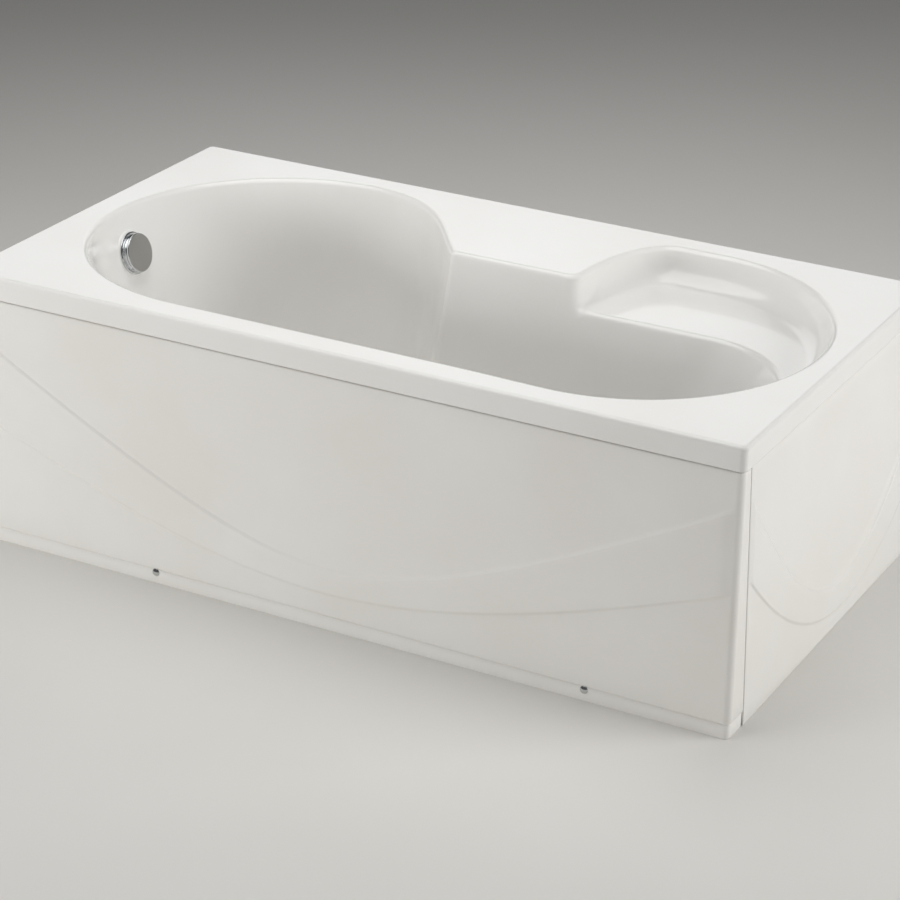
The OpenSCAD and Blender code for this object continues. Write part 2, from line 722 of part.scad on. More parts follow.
module overflow_knob() {
    color("#c4c6c7") at_overflow() turned_x() polygon([
        [0, knob_back + 3],
        [spindle_r, knob_back + 3],
        [spindle_r, knob_back],
        [knob_r - 5, knob_back],
        [knob_r - 1, knob_back + 1.5],
        [knob_r, knob_back + 2.5],
        [knob_r, knob_back + knob_t - 1],
        [knob_r - 0.5, knob_back + knob_t - 0.4],
        [knob_r - 1.5, knob_back + knob_t],
        [0, knob_back + knob_t]
    ]);
}
cam_back = body_front - 20;
module knob_spindle() {
    color("#b08d4a") at_overflow() translate([cam_back, 0, 0]) rotate([0, 90, 0])
        cylinder(r = spindle_r, h = knob_back + 3 - cam_back);
}
module knob_cam() {
    color("#e8e8e4") at_overflow() translate([cam_back, 0, 0]) rotate([0, 90, 0]) difference() {
        union() {
            cylinder(r = 10, h = 6);
            translate([0, -4, 0]) cube([18, 8, 6]);
            translate([18, 0, 0]) cylinder(r = 4, h = 6);
        }
        translate([0, 0, -1]) cylinder(r = spindle_r + fit, h = 8);
        translate([18, 0, -1]) cylinder(r = 1.5, h = 8);
    }
}
module overflow_gasket() {
    color("#2b2b2b") at_overflow() translate([body_front, 0, 0]) rotate([0, 90, 0])
        ring(seat_r - 6, neck_hole, -seat_back - body_front);
}
cup_r = 34;
cup_l = 30;
cup_wall = 3;
hose_x = over_x - (cup_l / 2 - body_front) * cos(over_tilt);
cup_z = over_z - (cup_l / 2 - body_front) * sin(over_tilt);
spout_z = cup_z - cup_r - 14;
hose_wall = 3;
cable_r = 2.5;
cable_y = hose_r + 9;
boss_r = 4;
module overflow_body() {
    color("#4a4c4e") difference() {
        union() {
            at_overflow() translate([body_front, 0, 0]) rotate([0, -90, 0]) {
                cylinder(r = seat_r - 6, h = 4);
                cylinder(r = cup_r, h = cup_l);
            }
            translate([hose_x, 0, spout_z]) cylinder(r = hose_r, h = cup_z - spout_z);
            translate([hose_x, cable_y, spout_z + 20]) cylinder(r = boss_r, h = cup_z - spout_z - 20);
        }
        at_overflow() {
            translate([body_front - 4, 0, 0]) rotate([0, -90, 0])
                cylinder(r = cup_r - cup_wall, h = cup_l - 4 - cup_wall);
            translate([body_front + 1, 0, 0]) rotate([0, -90, 0])
                cylinder(r = neck_r + fit, h = 6);
        }
        translate([hose_x, 0, spout_z - 1]) cylinder(r = hose_r - hose_wall, h = cup_z - spout_z);
    }
}

// Route of the hose and the cable: down, a quarter bend and along to the waste body
waste_inlet_z = under_z - 27;
hose_end_x = drain_x - 68;
function run_length(z0, x1) = (z0 - waste_inlet_z - hose_bend) + hose_bend * PI / 2
    + (x1 - hose_x - hose_bend);
function run_point(z0, s) =
    let (down = z0 - waste_inlet_z - hose_bend, turn = hose_bend * PI / 2)
    s < down ? [hose_x, z0 - s]
    : s < down + turn ? let (a = (s - down) / hose_bend * 180 / PI)
        [hose_x + hose_bend * (1 - cos(a)), waste_inlet_z + hose_bend * (1 - sin(a))]
    : [hose_x + hose_bend + s - down - turn, waste_inlet_z];
function run_angle(z0, s) =
    let (down = z0 - waste_inlet_z - hose_bend)
    max(0, min(90, (s - down) / hose_bend * 180 / PI));
// A ring of n points square to the route
function run_ring(z0, y, s, r, n) =
    let (p = run_point(z0, s), a = run_angle(z0, s))
    [for (i = [0 : n - 1])
        let (b = 360 * i / n, u = r * cos(b))
        [p[0] + u * cos(a), y + r * sin(b), p[1] + u * sin(a)]];
hose_sides = 12;
rib_pitch = 7;
rib_h = 1.8;
cuff = 2 * hose_r;
hose_len = run_length(spout_z, hose_end_x);
ribs = floor((hose_len - 2 * cuff) / rib_pitch);
rib_start = (hose_len - ribs * rib_pitch) / 2;
hose_rows = concat(
    [[0, hose_r]],
    [for (k = [0 : ribs - 1]) let (s = rib_start + k * rib_pitch)
        each [[s, hose_r - rib_h], [s + rib_pitch / 2, hose_r]]],
    [[hose_len - rib_start, hose_r - rib_h], [hose_len, hose_r]],
    [for (k = [24 : -1 : 0]) [hose_len * k / 24, hose_r - hose_wall]]
);
module overflow_hose() {
    n = hose_sides;
    rows = [for (row = hose_rows) run_ring(spout_z, 0, row[0], row[1], n)];
    count = len(rows);
    color("#d9d9d4") polyhedron(
        points = [for (row = rows) each row],
        faces = [for (k = [0 : count - 1]) for (i = [0 : n - 1])
            let (m = (k + 1) % count, j = (i + 1) % n,
                a = k * n + i, b = k * n + j, c = m * n + j, d = m * n + i)
            each [[a, c, b], [a, d, c]]],
        convexity = 8);
}
cable_top = spout_z + 20;
cable_end_x = drain_x - 45;
cable_len = run_length(cable_top, cable_end_x);
module control_cable() {
    n = 8;
    steps = 36;
    color("#5a5c5e") mirror([0, 1, 0])
        lofted([for (k = [0 : steps])
            run_ring(cable_top, -cable_y, cable_len * k / steps, cable_r, n)], n);
}
nut_wall = 5;
module hose_nut_top() {
    color("#4a4c4e") translate([hose_x, 0, spout_z - 14])
        ring(hose_r + gap + nut_wall, hose_r + gap, 20);
}
module hose_nut_bottom() {
    color("#4a4c4e") translate([hose_end_x - 14, 0, waste_inlet_z]) rotate([0, 90, 0])
        ring(hose_r + gap + nut_wall, hose_r + gap, 20);
}

// Waste
tail_r = neck_r;
body_top = waste_pad_z - 3;
body_r = 32.5;
body_in = 29.5;
body_low = under_z - 44;
stem_r = 4;
stem_hub_z = floor_z - 18;
flange_top = floor_z + 1;
module waste_flange() {
    color("#d3d6d9") translate([drain_x, 0, 0]) difference() {
        union() {
            rotate_extrude() polygon([
                [tail_r - 3, stem_hub_z],
                [tail_r, stem_hub_z],
                [tail_r, waste_seat_z],
                [flange_r, waste_seat_z],
                [flange_r, flange_top - 1.5],
                [flange_r - 2, flange_top],
                [tail_r, flange_top],
                [tail_r - 3, flange_top - 2]
            ]);
            translate([0, 0, stem_hub_z]) cylinder(r = stem_r + 3, h = 8);
            for (a = [0, 120, 240]) rotate([0, 0, a])
                translate([3, -1.5, stem_hub_z]) cube([tail_r - 5, 3, 8]);
        }
        translate([0, 0, stem_hub_z - 1]) cylinder(r = stem_r + fit, h = 12);
    }
}
module flange_gasket() {
    color("#2b2b2b") translate([drain_x, 0, body_top])
        ring(flange_r, neck_hole, waste_pad_z - body_top);
}
pipe_wall = 2.5;
tail_low = body_low - 14;
module waste_body() {
    color("#4a4c4e") difference() {
        union() {
            translate([drain_x, 0, body_top - 3]) cylinder(r = flange_r, h = 3);
            translate([drain_x, 0, body_low]) cylinder(r = body_r, h = body_top - body_low);
            translate([drain_x, 0, tail_low]) cylinder(r = outlet_r, h = body_low - tail_low + 1);
            translate([hose_end_x, 0, waste_inlet_z]) rotate([0, 90, 0])
                cylinder(r = hose_r, h = drain_x - hose_end_x - hose_r);
            translate([cable_end_x, cable_y, waste_inlet_z]) rotate([0, 90, 0])
                cylinder(r = boss_r, h = drain_x - cable_end_x - 10);
        }
        translate([drain_x, 0, body_low + 3]) cylinder(r = body_in, h = body_top - body_low - 7);
        translate([drain_x, 0, body_top - 6]) cylinder(r = tail_r + fit, h = 8);
        translate([drain_x, 0, tail_low - 1]) cylinder(r = outlet_r - pipe_wall, h = 30);
        translate([hose_end_x - 1, 0, waste_inlet_z]) rotate([0, 90, 0])
            cylinder(r = hose_r - hose_wall, h = drain_x - hose_end_x);
        translate([drain_x - rocker_arm, -body_r, rocker_z]) rotate([-90, 0, 0])
            cylinder(r = pin_r + fit, h = 2 * body_r);
    }
}
seal_z = flange_top + gap;
cap_z = seal_z + 2;
cap_edge = 2.5;
cap_dome = 2.5;
cap_socket = 2;
// The cap's top is a shallow parabola
module plug_cap() {
    color("#d3d6d9") translate([drain_x, 0, cap_z]) rotate_extrude() polygon(concat(
        [[stem_r + fit, 0], [plug_r, 0]],
        [for (k = [8 : -1 : 0])
            let (r = plug_r * k / 8) [r, cap_edge + cap_dome * (1 - pow(k / 8, 2))]],
        [[0, cap_socket], [stem_r + fit, cap_socket]]
    ));
}
module plug_seal() {
    color("#2b2b2b") translate([drain_x, 0, seal_z]) ring(plug_r - 3, stem_r + fit, cap_z - seal_z);
}
rocker_arm = 20;
rocker_tip_r = 3;
rocker_z = body_low + 10;
// Free play between the rocker's tip and the stem
play = 0.8;
stem_low = rocker_z + rocker_tip_r + play;
module plug_stem() {
    color("#b08d4a") translate([drain_x, 0, stem_low])
        cylinder(r = stem_r, h = cap_z + cap_socket - stem_low);
}
pin_r = 2;
module lift_rocker() {
    color("#b08d4a") translate([drain_x, 0, rocker_z]) rotate([90, 0, 0]) difference() {
        union() {
            translate([-rocker_arm, 0, -3]) cylinder(r = 5, h = 6);
            translate([-rocker_arm, -2.5, -3]) cube([rocker_arm, 5, 6]);
            translate([0, 0, -3]) cylinder(r = rocker_tip_r, h = 6);
        }
        translate([-rocker_arm, 0, -5]) cylinder(r = pin_r + fit, h = 10);
    }
}
module rocker_pin() {
    half = sqrt(body_r * body_r - rocker_arm * rocker_arm);
    color("#b5b8ba") translate([drain_x - rocker_arm, half, rocker_z]) rotate([90, 0, 0])
        cylinder(r = pin_r, h = 2 * half);
}
// The trap hangs from the waste body's tail
trap_r = 44;
trap_h = 48;
trap_wall = 3;
trap_top = tail_low - 2;
trap_z = trap_top - trap_h;
outlet_z = trap_z + outlet_r + trap_wall + 4;
socket = 4;
module trap_cup() {
    color("#4a4c4e") difference() {
        union() {
            translate([drain_x, 0, trap_z]) cylinder(r = trap_r, h = trap_h);
            translate([drain_x, 0, trap_top - 1])
                cylinder(r = outlet_r + socket, h = body_low - trap_top - 2);
            translate([drain_x, 0, outlet_z]) rotate([-90, 0, 0])
                cylinder(r = outlet_r + socket, h = trap_r + 20);
        }
        translate([drain_x, 0, trap_z + trap_wall])
            cylinder(r = trap_r - trap_wall, h = trap_h - 2 * trap_wall);
        translate([drain_x, 0, trap_top - 6]) cylinder(r = outlet_r + fit, h = 20);
        translate([drain_x, 0, outlet_z]) rotate([-90, 0, 0])
            cylinder(r = outlet_r + fit, h = trap_r + 30);
    }
}
module trap_nut() {
    color("#5c5e60") translate([drain_x, 0, outlet_z + outlet_r + socket + 1])
        ring(outlet_r + socket + nut_wall, outlet_r + socket + fit, 9);
}
module outlet_nut() {
    color("#5c5e60") translate([drain_x, trap_r + 6, outlet_z]) rotate([-90, 0, 0])
        ring(outlet_r + socket + nut_wall, outlet_r + socket + fit, 16);
}
// A bead near the outlet's free end stops the drain's socket
spigot_l = 45;
bead = 3;
module outlet_pipe() {
    color("#d9d9d4") translate([drain_x, trap_r, outlet_z]) rotate([-90, 0, 0]) {
        ring(outlet_r, outlet_r - pipe_wall, outlet_l - trap_r);
        translate([0, 0, outlet_l - trap_r - spigot_l - bead])
            ring(outlet_r + bead, outlet_r - pipe_wall / 2, bead);
    }
}

tub_shell();
base_board();
batten(-1);  // batten_front
batten(1);  // batten_back
rail(-1);  // rail_front
rail(1);  // rail_back
cross_bar(0);  // cross_bar_foot
cross_bar(1);  // cross_bar_1
cross_bar(2);  // cross_bar_2
cross_bar(3);  // cross_bar_3
cross_bar(4);  // cross_bar_head
frame_post(0, -1);  // post_front_foot
frame_post(1, -1);  // post_front_mid
frame_post(2, -1);  // post_front_head
frame_post(0, 1);  // post_back_foot
frame_post(1, 1);  // post_back_mid
frame_post(2, 1);  // post_back_head
weld_nuts();
foot_rod(0);  // foot_rod_1
foot_rod(1);  // foot_rod_2
foot_rod(2);  // foot_rod_3
foot_rod(3);  // foot_rod_4
foot_lock_nut(0);  // foot_lock_nut_1
foot_lock_nut(1);  // foot_lock_nut_2
foot_lock_nut(2);  // foot_lock_nut_3
foot_lock_nut(3);  // foot_lock_nut_4
foot_pad(0);  // foot_pad_1
foot_pad(1);  // foot_pad_2
foot_pad(2);  // foot_pad_3
foot_pad(3);  // foot_pad_4
front_panel();
end_panel();
panel_clips();
panel_brackets();
end_brackets();
panel_screws();
overflow_faceplate();
overflow_knob();
knob_spindle();
knob_cam();
overflow_gasket();
overflow_body();
hose_nut_top();
hose_nut_bottom();
overflow_hose();
control_cable();
waste_flange();
flange_gasket();
waste_body();
plug_cap();
plug_seal();
plug_stem();
lift_rocker();
rocker_pin();
trap_cup();
trap_nut();
outlet_nut();
outlet_pipe();
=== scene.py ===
"""Looks of an apron-front bathtub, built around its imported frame. Metres, +Z up."""

import json
import math

import bmesh
import bpy
import numpy as np
from mathutils import Matrix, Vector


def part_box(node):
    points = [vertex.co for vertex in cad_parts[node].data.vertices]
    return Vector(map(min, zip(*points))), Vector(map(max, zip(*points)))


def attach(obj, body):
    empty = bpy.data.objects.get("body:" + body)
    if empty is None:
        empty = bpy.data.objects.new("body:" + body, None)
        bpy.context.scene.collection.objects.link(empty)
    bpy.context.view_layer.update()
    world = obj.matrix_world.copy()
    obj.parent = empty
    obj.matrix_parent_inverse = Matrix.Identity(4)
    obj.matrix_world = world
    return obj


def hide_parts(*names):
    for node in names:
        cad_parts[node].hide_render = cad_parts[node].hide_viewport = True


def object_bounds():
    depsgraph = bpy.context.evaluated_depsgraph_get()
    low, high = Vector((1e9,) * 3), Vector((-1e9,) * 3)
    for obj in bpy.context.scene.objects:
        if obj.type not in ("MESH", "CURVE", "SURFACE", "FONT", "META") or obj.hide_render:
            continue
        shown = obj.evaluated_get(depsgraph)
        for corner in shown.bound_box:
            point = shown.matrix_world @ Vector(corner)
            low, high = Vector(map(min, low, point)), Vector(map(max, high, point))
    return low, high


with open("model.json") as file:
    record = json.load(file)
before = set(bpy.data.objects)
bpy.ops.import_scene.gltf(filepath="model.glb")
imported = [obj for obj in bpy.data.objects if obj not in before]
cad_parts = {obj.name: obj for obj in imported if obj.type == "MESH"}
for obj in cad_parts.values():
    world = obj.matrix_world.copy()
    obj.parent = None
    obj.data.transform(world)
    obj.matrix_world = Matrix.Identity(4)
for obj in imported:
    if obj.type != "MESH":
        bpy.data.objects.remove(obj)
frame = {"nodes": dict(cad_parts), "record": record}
cad_low, cad_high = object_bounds()
nodes = frame["nodes"]
MM = 0.001


def middle_of(node):
    """Middle of a node's box at rest."""
    low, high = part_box(node)
    return (np.array(low) + np.array(high)) / 2


# Sizes of the tub, as its construction has them
HALF_L, HALF_W, TUB_H = cad_high.x, cad_high.y, cad_high.z
DECK_FOOT, DECK_HEAD, DECK_FRONT, DECK_BACK = 60 * MM, 45 * MM, 62 * MM, 55 * MM
LIP_H, CORNER_R, EDGE_R, RIM_R, SHELL_T = 43 * MM, 12 * MM, 6.5 * MM, 9 * MM, 5 * MM
BASIN_DEPTH, BOWL_L, OVAL_L = 395 * MM, 345 * MM, 325 * MM
FRONT_SWELL, FLOOR_R, FLOOR_FALL = 4 * MM, 50 * MM, 0.005
FOOT_LEAN, SIDE_LEAN, HEAD_LEAN, FLOOR_ROUND = 110 * MM, 54 * MM, 275 * MM, 180 * MM
LEDGE_L, LEDGE_W, LEDGE_HEAD = 250 * MM, 227 * MM, 505 * MM
LEDGE_EDGE_R, LEDGE_CORNER_R = 12 * MM, 25 * MM
SHELF_DEPTH, SHELF_TURN, SHELF_EDGE_R = 60 * MM, 100 * MM, 10 * MM
PANEL_T, RELIEF_H, LIP_GAP, PLINTH_H, FLANGE_W = 3 * MM, 3 * MM, 2.7 * MM, 29 * MM, 8 * MM
PLINTH_BACK, PLINTH_CORNER, PANEL_JOINT = 1.5 * MM, 2 * MM, 3 * MM
RETURN_W, RETURN_SPLAY = 31 * MM, 28 * MM

X_FOOT, X_HEAD = DECK_FOOT - HALF_L, HALF_L - DECK_HEAD
Y_FRONT, Y_BACK = DECK_FRONT - HALF_W, HALF_W - DECK_BACK
BOWL_X, OVAL_X = X_FOOT + BOWL_L, X_HEAD - OVAL_L
LEDGE_X1 = X_HEAD - LEDGE_HEAD
LEDGE_X0, LEDGE_Y = LEDGE_X1 - LEDGE_L, Y_BACK - LEDGE_W
FLOOR_Z, LIP_Z, SHELF_Z = TUB_H - BASIN_DEPTH, TUB_H - LIP_H, TUB_H - SHELF_DEPTH
UNDER_Z, DECK_UNDER, LEVEL_Z = FLOOR_Z - SHELL_T, TUB_H - SHELL_T, SHELF_Z - SHELF_EDGE_R
TOP_SIDE, TOP_HEAD, TOP_FOOT = 8 * MM, 45 * MM, FOOT_LEAN * 0.15 + 4 * MM
SHELF_END_X, FLOOR_END_X = OVAL_X + 80 * MM, X_HEAD - HEAD_LEAN - FLOOR_ROUND
DRAIN_X = middle_of("plug_cap")[0]
PANEL_TOP = LIP_Z - LIP_GAP
FACE_X, FACE_Y = HALF_L - RELIEF_H, HALF_W - RELIEF_H

# The overflow's axis stands square to the foot-end wall
OVER_Z = TUB_H - 83 * MM
OVER_LEAN = (FOOT_LEAN - TOP_FOOT) / (LEVEL_Z - FLOOR_Z)
OVER_TILT = math.atan(OVER_LEAN)
OVER_AT = np.array([X_FOOT + TOP_FOOT - (OVER_Z - LEVEL_Z) * OVER_LEAN, 0, OVER_Z])
OVER_AXIS = np.array([math.cos(OVER_TILT), 0, math.sin(OVER_TILT)])

# Columns in each stretch of the tub's outlines, counter-clockwise from the front of the head end
N_HEAD, N_SHELF, N_BACK, N_TURN, N_EDGE = 40, 64, 6, 36, 14
N_LEDGE, N_SWEEP, N_BOWL, N_FRONT = 8, 44, 52, 36


# Shapes
def steps(count, start=0.0, end=1.0):
    """count even shares from start up to, but not with, end."""
    return start + (end - start) * np.arange(count) / count


def smooth(t):
    """The S-curve 3t^2 - 2t^3 between 0 and 1."""
    u = np.clip(t, 0, 1)
    return u * u * (3 - 2 * u)


def unit(v):
    """Vectors at length one."""
    return v / np.maximum(np.linalg.norm(v, axis=-1, keepdims=True), 1e-12)


def line(a, b, count):
    """count points from a towards b."""
    return np.array(a) + (np.array(b) - np.array(a)) * steps(count)[:, None]


def curve(points, count):
    """count points on the Bezier curve of three or four given points."""
    t = steps(count)[:, None]
    p = [np.array(q, float) for q in points]
    while len(p) > 1:
        p = [a + (b - a) * t for a, b in zip(p, p[1:])]
    return p[0]


def oval(centre, rx, ry, start, end, count):
    """count points on an ellipse, from one angle in degrees towards another."""
    a = np.radians(steps(count, start, end))
    return np.stack([centre[0] + rx * np.cos(a), centre[1] + ry * np.sin(a)], 1)


def ledge_to_front(x_start, side, front, back, near, foot):
    """The ledge's front, its corner, the sweep up to the back rim and the round bowl.

    The last five numbers are how far the walls have leaned in: at the ledge's side and its
    front, at the back, at the near side and at the foot end.
    """
    corner = np.array([LEDGE_X0 - side, LEDGE_Y - front])
    sweep = LEDGE_X0 - BOWL_X
    pull = np.array([-0.27 * sweep, 0.42 * LEDGE_W])
    reach = LEDGE_EDGE_R * 0.55 + 0.3 * side
    start, leave = corner + [reach, 0], corner + reach * unit(pull)
    end = [BOWL_X, Y_BACK - back]
    width = BOWL_X - X_FOOT - foot
    return np.concatenate([
        line([x_start, corner[1]], start, N_LEDGE),
        curve([start, corner, leave], N_EDGE),
        curve([leave, corner + pull, [BOWL_X + 0.54 * sweep, end[1]], end], N_SWEEP),
        oval([BOWL_X, 0], width, Y_BACK - back, 90, 180, N_BOWL),
        oval([BOWL_X, 0], width, -Y_FRONT - near, 180, 270, N_BOWL),
    ])


def rim_outline():
    """Opening of the basin in the deck: head-end oval, back rim, turn to the ledge, bowl, front."""
    turn = math.degrees(math.asin(LEDGE_CORNER_R / LEDGE_W))
    x = steps(N_FRONT, BOWL_X, OVAL_X)
    y = Y_FRONT - FRONT_SWELL * smooth((x - LEDGE_X1) / (OVAL_X - LEDGE_X1))
    a = np.radians(steps(N_SHELF, -20, 90))
    width = np.where(a < 0, FRONT_SWELL - Y_FRONT, Y_BACK)
    return np.concatenate([
        oval([OVAL_X, 0], OVAL_L, FRONT_SWELL - Y_FRONT, -90, -20, N_HEAD),
        np.stack([OVAL_X + OVAL_L * np.cos(a), width * np.sin(a)], 1),
        line([OVAL_X, Y_BACK], [LEDGE_X1 + SHELF_TURN, Y_BACK], N_BACK),
        oval([LEDGE_X1 + SHELF_TURN, LEDGE_Y], SHELF_TURN, LEDGE_W, 90, 180 - turn, N_TURN),
        curve([[LEDGE_X1, LEDGE_Y + LEDGE_CORNER_R], [LEDGE_X1, LEDGE_Y],
               [LEDGE_X1 - LEDGE_CORNER_R, LEDGE_Y]], N_EDGE),
        ledge_to_front(LEDGE_X1 - LEDGE_CORNER_R, 0, 0, 0, 0, 0),
        np.stack([x, y], 1),
    ])


def hollow(y0, y1, x_end, x_low, x_high, x_back, x_turn):
    """Round head end of the hollow below the shelf, then its straight wall under the ledge."""
    cy, ry = (y0 + y1) / 2, (y1 - y0) / 2
    t = steps(N_SHELF) / 0.85
    a = np.radians(90 * np.minimum(t, 1))
    wall_x = x_high + (x_back - x_high) * np.maximum(t - 1, 0) * 0.85 / 0.15
    upper = np.stack([np.where(t < 1, x_high + (x_end - x_high) * np.cos(a), wall_x),
                      cy + ry * np.sin(a)], 1)
    return np.concatenate([
        oval([x_low, cy], x_end - x_low, ry, -90, 0, N_HEAD),
        upper,
        line([x_back, y1], [x_turn, y1], N_BACK),
        line([x_turn, y1], [LEDGE_X1, y1], N_TURN),
        line([LEDGE_X1, y1], [LEDGE_X1 - LEDGE_CORNER_R, y1], N_EDGE),
    ])


def level_outline():
    """The walls at the height where the shelf's edge ends."""
    lean, y0 = TOP_SIDE * 0.75, Y_FRONT + TOP_SIDE
    return np.concatenate([
        hollow(y0, LEDGE_Y - lean, X_HEAD - TOP_HEAD, OVAL_X, SHELF_END_X,
               OVAL_X + 20 * MM, LEDGE_X1 + SHELF_TURN + 20 * MM),
        ledge_to_front(LEDGE_X1 - LEDGE_CORNER_R, lean, lean, TOP_SIDE, TOP_SIDE, TOP_FOOT),
        line([BOWL_X, y0], [OVAL_X, y0], N_FRONT),
    ])


def base_outline():
    """The walls where they would meet the basin floor if there were no radius."""
    lean, y0 = SIDE_LEAN * 0.9, Y_FRONT + SIDE_LEAN
    return np.concatenate([
        hollow(y0, LEDGE_Y - lean, X_HEAD - HEAD_LEAN, FLOOR_END_X, FLOOR_END_X,
               LEDGE_X1 + 35 * MM, LEDGE_X1 + 25 * MM),
        ledge_to_front(LEDGE_X1 - LEDGE_CORNER_R, SIDE_LEAN * 0.65, lean, SIDE_LEAN,
                       SIDE_LEAN, FOOT_LEAN),
        line([BOWL_X, y0], [FLOOR_END_X, y0], N_FRONT),
    ])


def deck_outline(d):
    """Outer edge of the deck, taken in by d, with a point for each column of the outlines."""
    x, y, r, turn = HALF_L - d, HALF_W - d, CORNER_R - d, 12
    cx, cy, split = HALF_L - CORNER_R, HALF_W - CORNER_R, -0.35 * HALF_W
    ledge, side = N_LEDGE + N_EDGE, N_BOWL - 2 * turn
    return np.concatenate([
        line([OVAL_X, -y], [cx, -y], N_HEAD - 2 * turn),
        oval([cx, -cy], r, r, -90, 0, turn),
        line([x, -cy], [x, split], turn),
        line([x, split], [x, cy], N_SHELF - 2 * turn - 4),
        oval([cx, cy], r, r, 0, 90, turn),
        line([cx, y], [OVAL_X, y], turn + 4),
        line([OVAL_X, y], [LEDGE_X1 + SHELF_TURN, y], N_BACK),
        line([LEDGE_X1 + SHELF_TURN, y], [LEDGE_X1, y], N_TURN),
        line([LEDGE_X1, y], [LEDGE_X1 - LEDGE_CORNER_R, y], N_EDGE),
        line([LEDGE_X1 - LEDGE_CORNER_R, y], [LEDGE_X0, y], ledge),
        line([LEDGE_X0, y], [BOWL_X, y], N_SWEEP),
        line([BOWL_X, y], [-cx, y], side),
        oval([-cx, cy], r, r, 90, 180, turn),
        line([-x, cy], [-x, -cy], 2 * turn),
        oval([-cx, -cy], r, r, 180, 270, turn),
        line([-cx, -y], [BOWL_X, -y], side),
        line([BOWL_X, -y], [OVAL_X, -y], N_FRONT),
    ])


def at_height(outline, z):
    """Points of a plan outline at one height, or at a height for each."""
    return np.column_stack([outline, np.broadcast_to(z, len(outline))])


def bent(corners, reach, arcs, runs):
    """Rows of a profile from corner to corner, with a round arc at each inner corner.

    Every column has its own corners. An arc leaves its corner's two sides at the distance reach
    and is an exact circle: a rational curve whose middle weighs the sine of half the angle
    between the sides. A straight run ends in rows close to the arcs, which keep it flat.
    """
    rows, last = [corners[0]], corners[0]
    for k, corner in enumerate(corners[1:-1]):
        back, ahead = unit(corners[k] - corner), unit(corners[k + 2] - corner)
        r = np.broadcast_to(reach[k], len(corner))[:, None]
        start, end = corner + back * r, corner + ahead * r
        length = np.linalg.norm(start - last, axis=1, keepdims=True)
        near = np.minimum(1.5 * MM / np.maximum(length, 1e-9), 0.25)
        shares = [near] * (k > 0) + [near + (1 - 2 * near) * t for t in steps(runs[k])[1:]]
        rows += [last + (start - last) * t for t in shares + [1 - near]]
        weight = np.sqrt(np.clip((1 - (back * ahead).sum(1, keepdims=True)) / 2, 0, 1))
        for t in np.linspace(0, 1, arcs[k] + 1):
            a, b, c = (1 - t) ** 2, 2 * t * (1 - t) * weight, t ** 2
            rows.append((a * start + b * corner + c * end) / (a + b + c))
        last = end
    rows += [last + (corners[-1] - last) * t for t in steps(runs[-1])[1:]]
    return rows + [corners[-1]]


def quads(rows, columns, close_rows, close_columns):
    """Corner numbers of a grid's faces; its rows or columns may close on themselves."""
    r = np.arange(rows if close_rows else rows - 1)[:, None]
    c = np.arange(columns if close_columns else columns - 1)[None, :]
    r1, c1 = (r + 1) % rows, (c + 1) % columns
    corners = [r * columns + c, r * columns + c1, r1 * columns + c1, r1 * columns + c]
    return np.stack([np.broadcast_to(k, (r.size, c.size)) for k in corners], -1).reshape(-1, 4)


def outwards(points, faces):
    """The faces of a closed shell, turned over where the volume they enclose is negative."""
    p = (points - points.mean(0))[faces]
    volume = ((np.cross(p[:, 0], p[:, 1]) * p[:, 2]).sum()
              + (np.cross(p[:, 0], p[:, 2]) * p[:, 3]).sum())
    return faces if volume > 0 else faces[:, ::-1]


def loop_shell(grid, finish=None):
    """A shell from a grid that closes along its columns, and along its rows or in two poles.

    finish is the number of each row's material.
    """
    rows, columns = grid.shape[:2]
    closed = bool(np.ptp(grid[[0, -1]], axis=1).max() > 1e-9)
    finish = np.zeros(rows, int) if finish is None else np.asarray(finish)
    points = grid.reshape(-1, 3)
    faces = outwards(points, quads(rows, columns, closed, True))
    return points, faces, np.repeat(finish if closed else finish[:-1], columns)


def sheet_shell(front, back):
    """A closed sheet between two grids of one size, closed over its top, its foot and its sides."""
    around = np.concatenate([front, back[::-1]], 0)
    rows, columns = around.shape[:2]
    points = around.reshape(-1, 3)
    r = np.arange(len(front) - 1)
    cap = np.stack([r, r + 1, rows - 2 - r, rows - 1 - r], 1) * columns
    faces = np.concatenate([quads(rows, columns, True, False), cap, cap[:, ::-1] + columns - 1])
    return points, outwards(points, faces), np.zeros(len(faces), int)


def rounded(corners, radii, arc=5):
    """A closed outline with an exact arc of a given radius at each corner, by the rule of bent."""
    p = np.array(corners, float)
    radii = np.broadcast_to(radii, len(p))
    t = np.linspace(0, 1, arc + 1)[:, None]
    made = []
    for k, here in enumerate(p):
        a, b = p[k - 1] - here, p[(k + 1) % len(p)] - here
        la, lb = np.linalg.norm(a), np.linalg.norm(b)
        weight = math.sqrt(max(0.0, (1 - float(a @ b) / (la * lb)) / 2))
        reach = min(radii[k] * math.sqrt(max(0.0, 1 - weight ** 2)) / max(weight, 1e-6),
                    la * 0.49, lb * 0.49)
        start, end = here + a / la * reach, here + b / lb * reach
        w = 2 * t * (1 - t) * weight
        arc_points = ((1 - t) ** 2 * start + w * here + t ** 2 * end) / ((1 - t) ** 2 + w + t ** 2)
        made.append(arc_points if radii[k] > 0 else here[None])
    return np.concatenate(made)


def turned(profile, count=96, radius=None, finish=None):
    """A closed profile of (radius, height) turned about Z.

    radius, where given, reshapes each point from its radius, its angle and its height.
    """
    a = steps(count, 0, 2 * math.pi)[None, :]
    r, z = (np.repeat(v[:, None], count, 1) for v in np.array(profile, float).T)
    r = r if radius is None else radius(r, a, z)
    return loop_shell(np.stack([r * np.cos(a), r * np.sin(a), z], 2), finish)


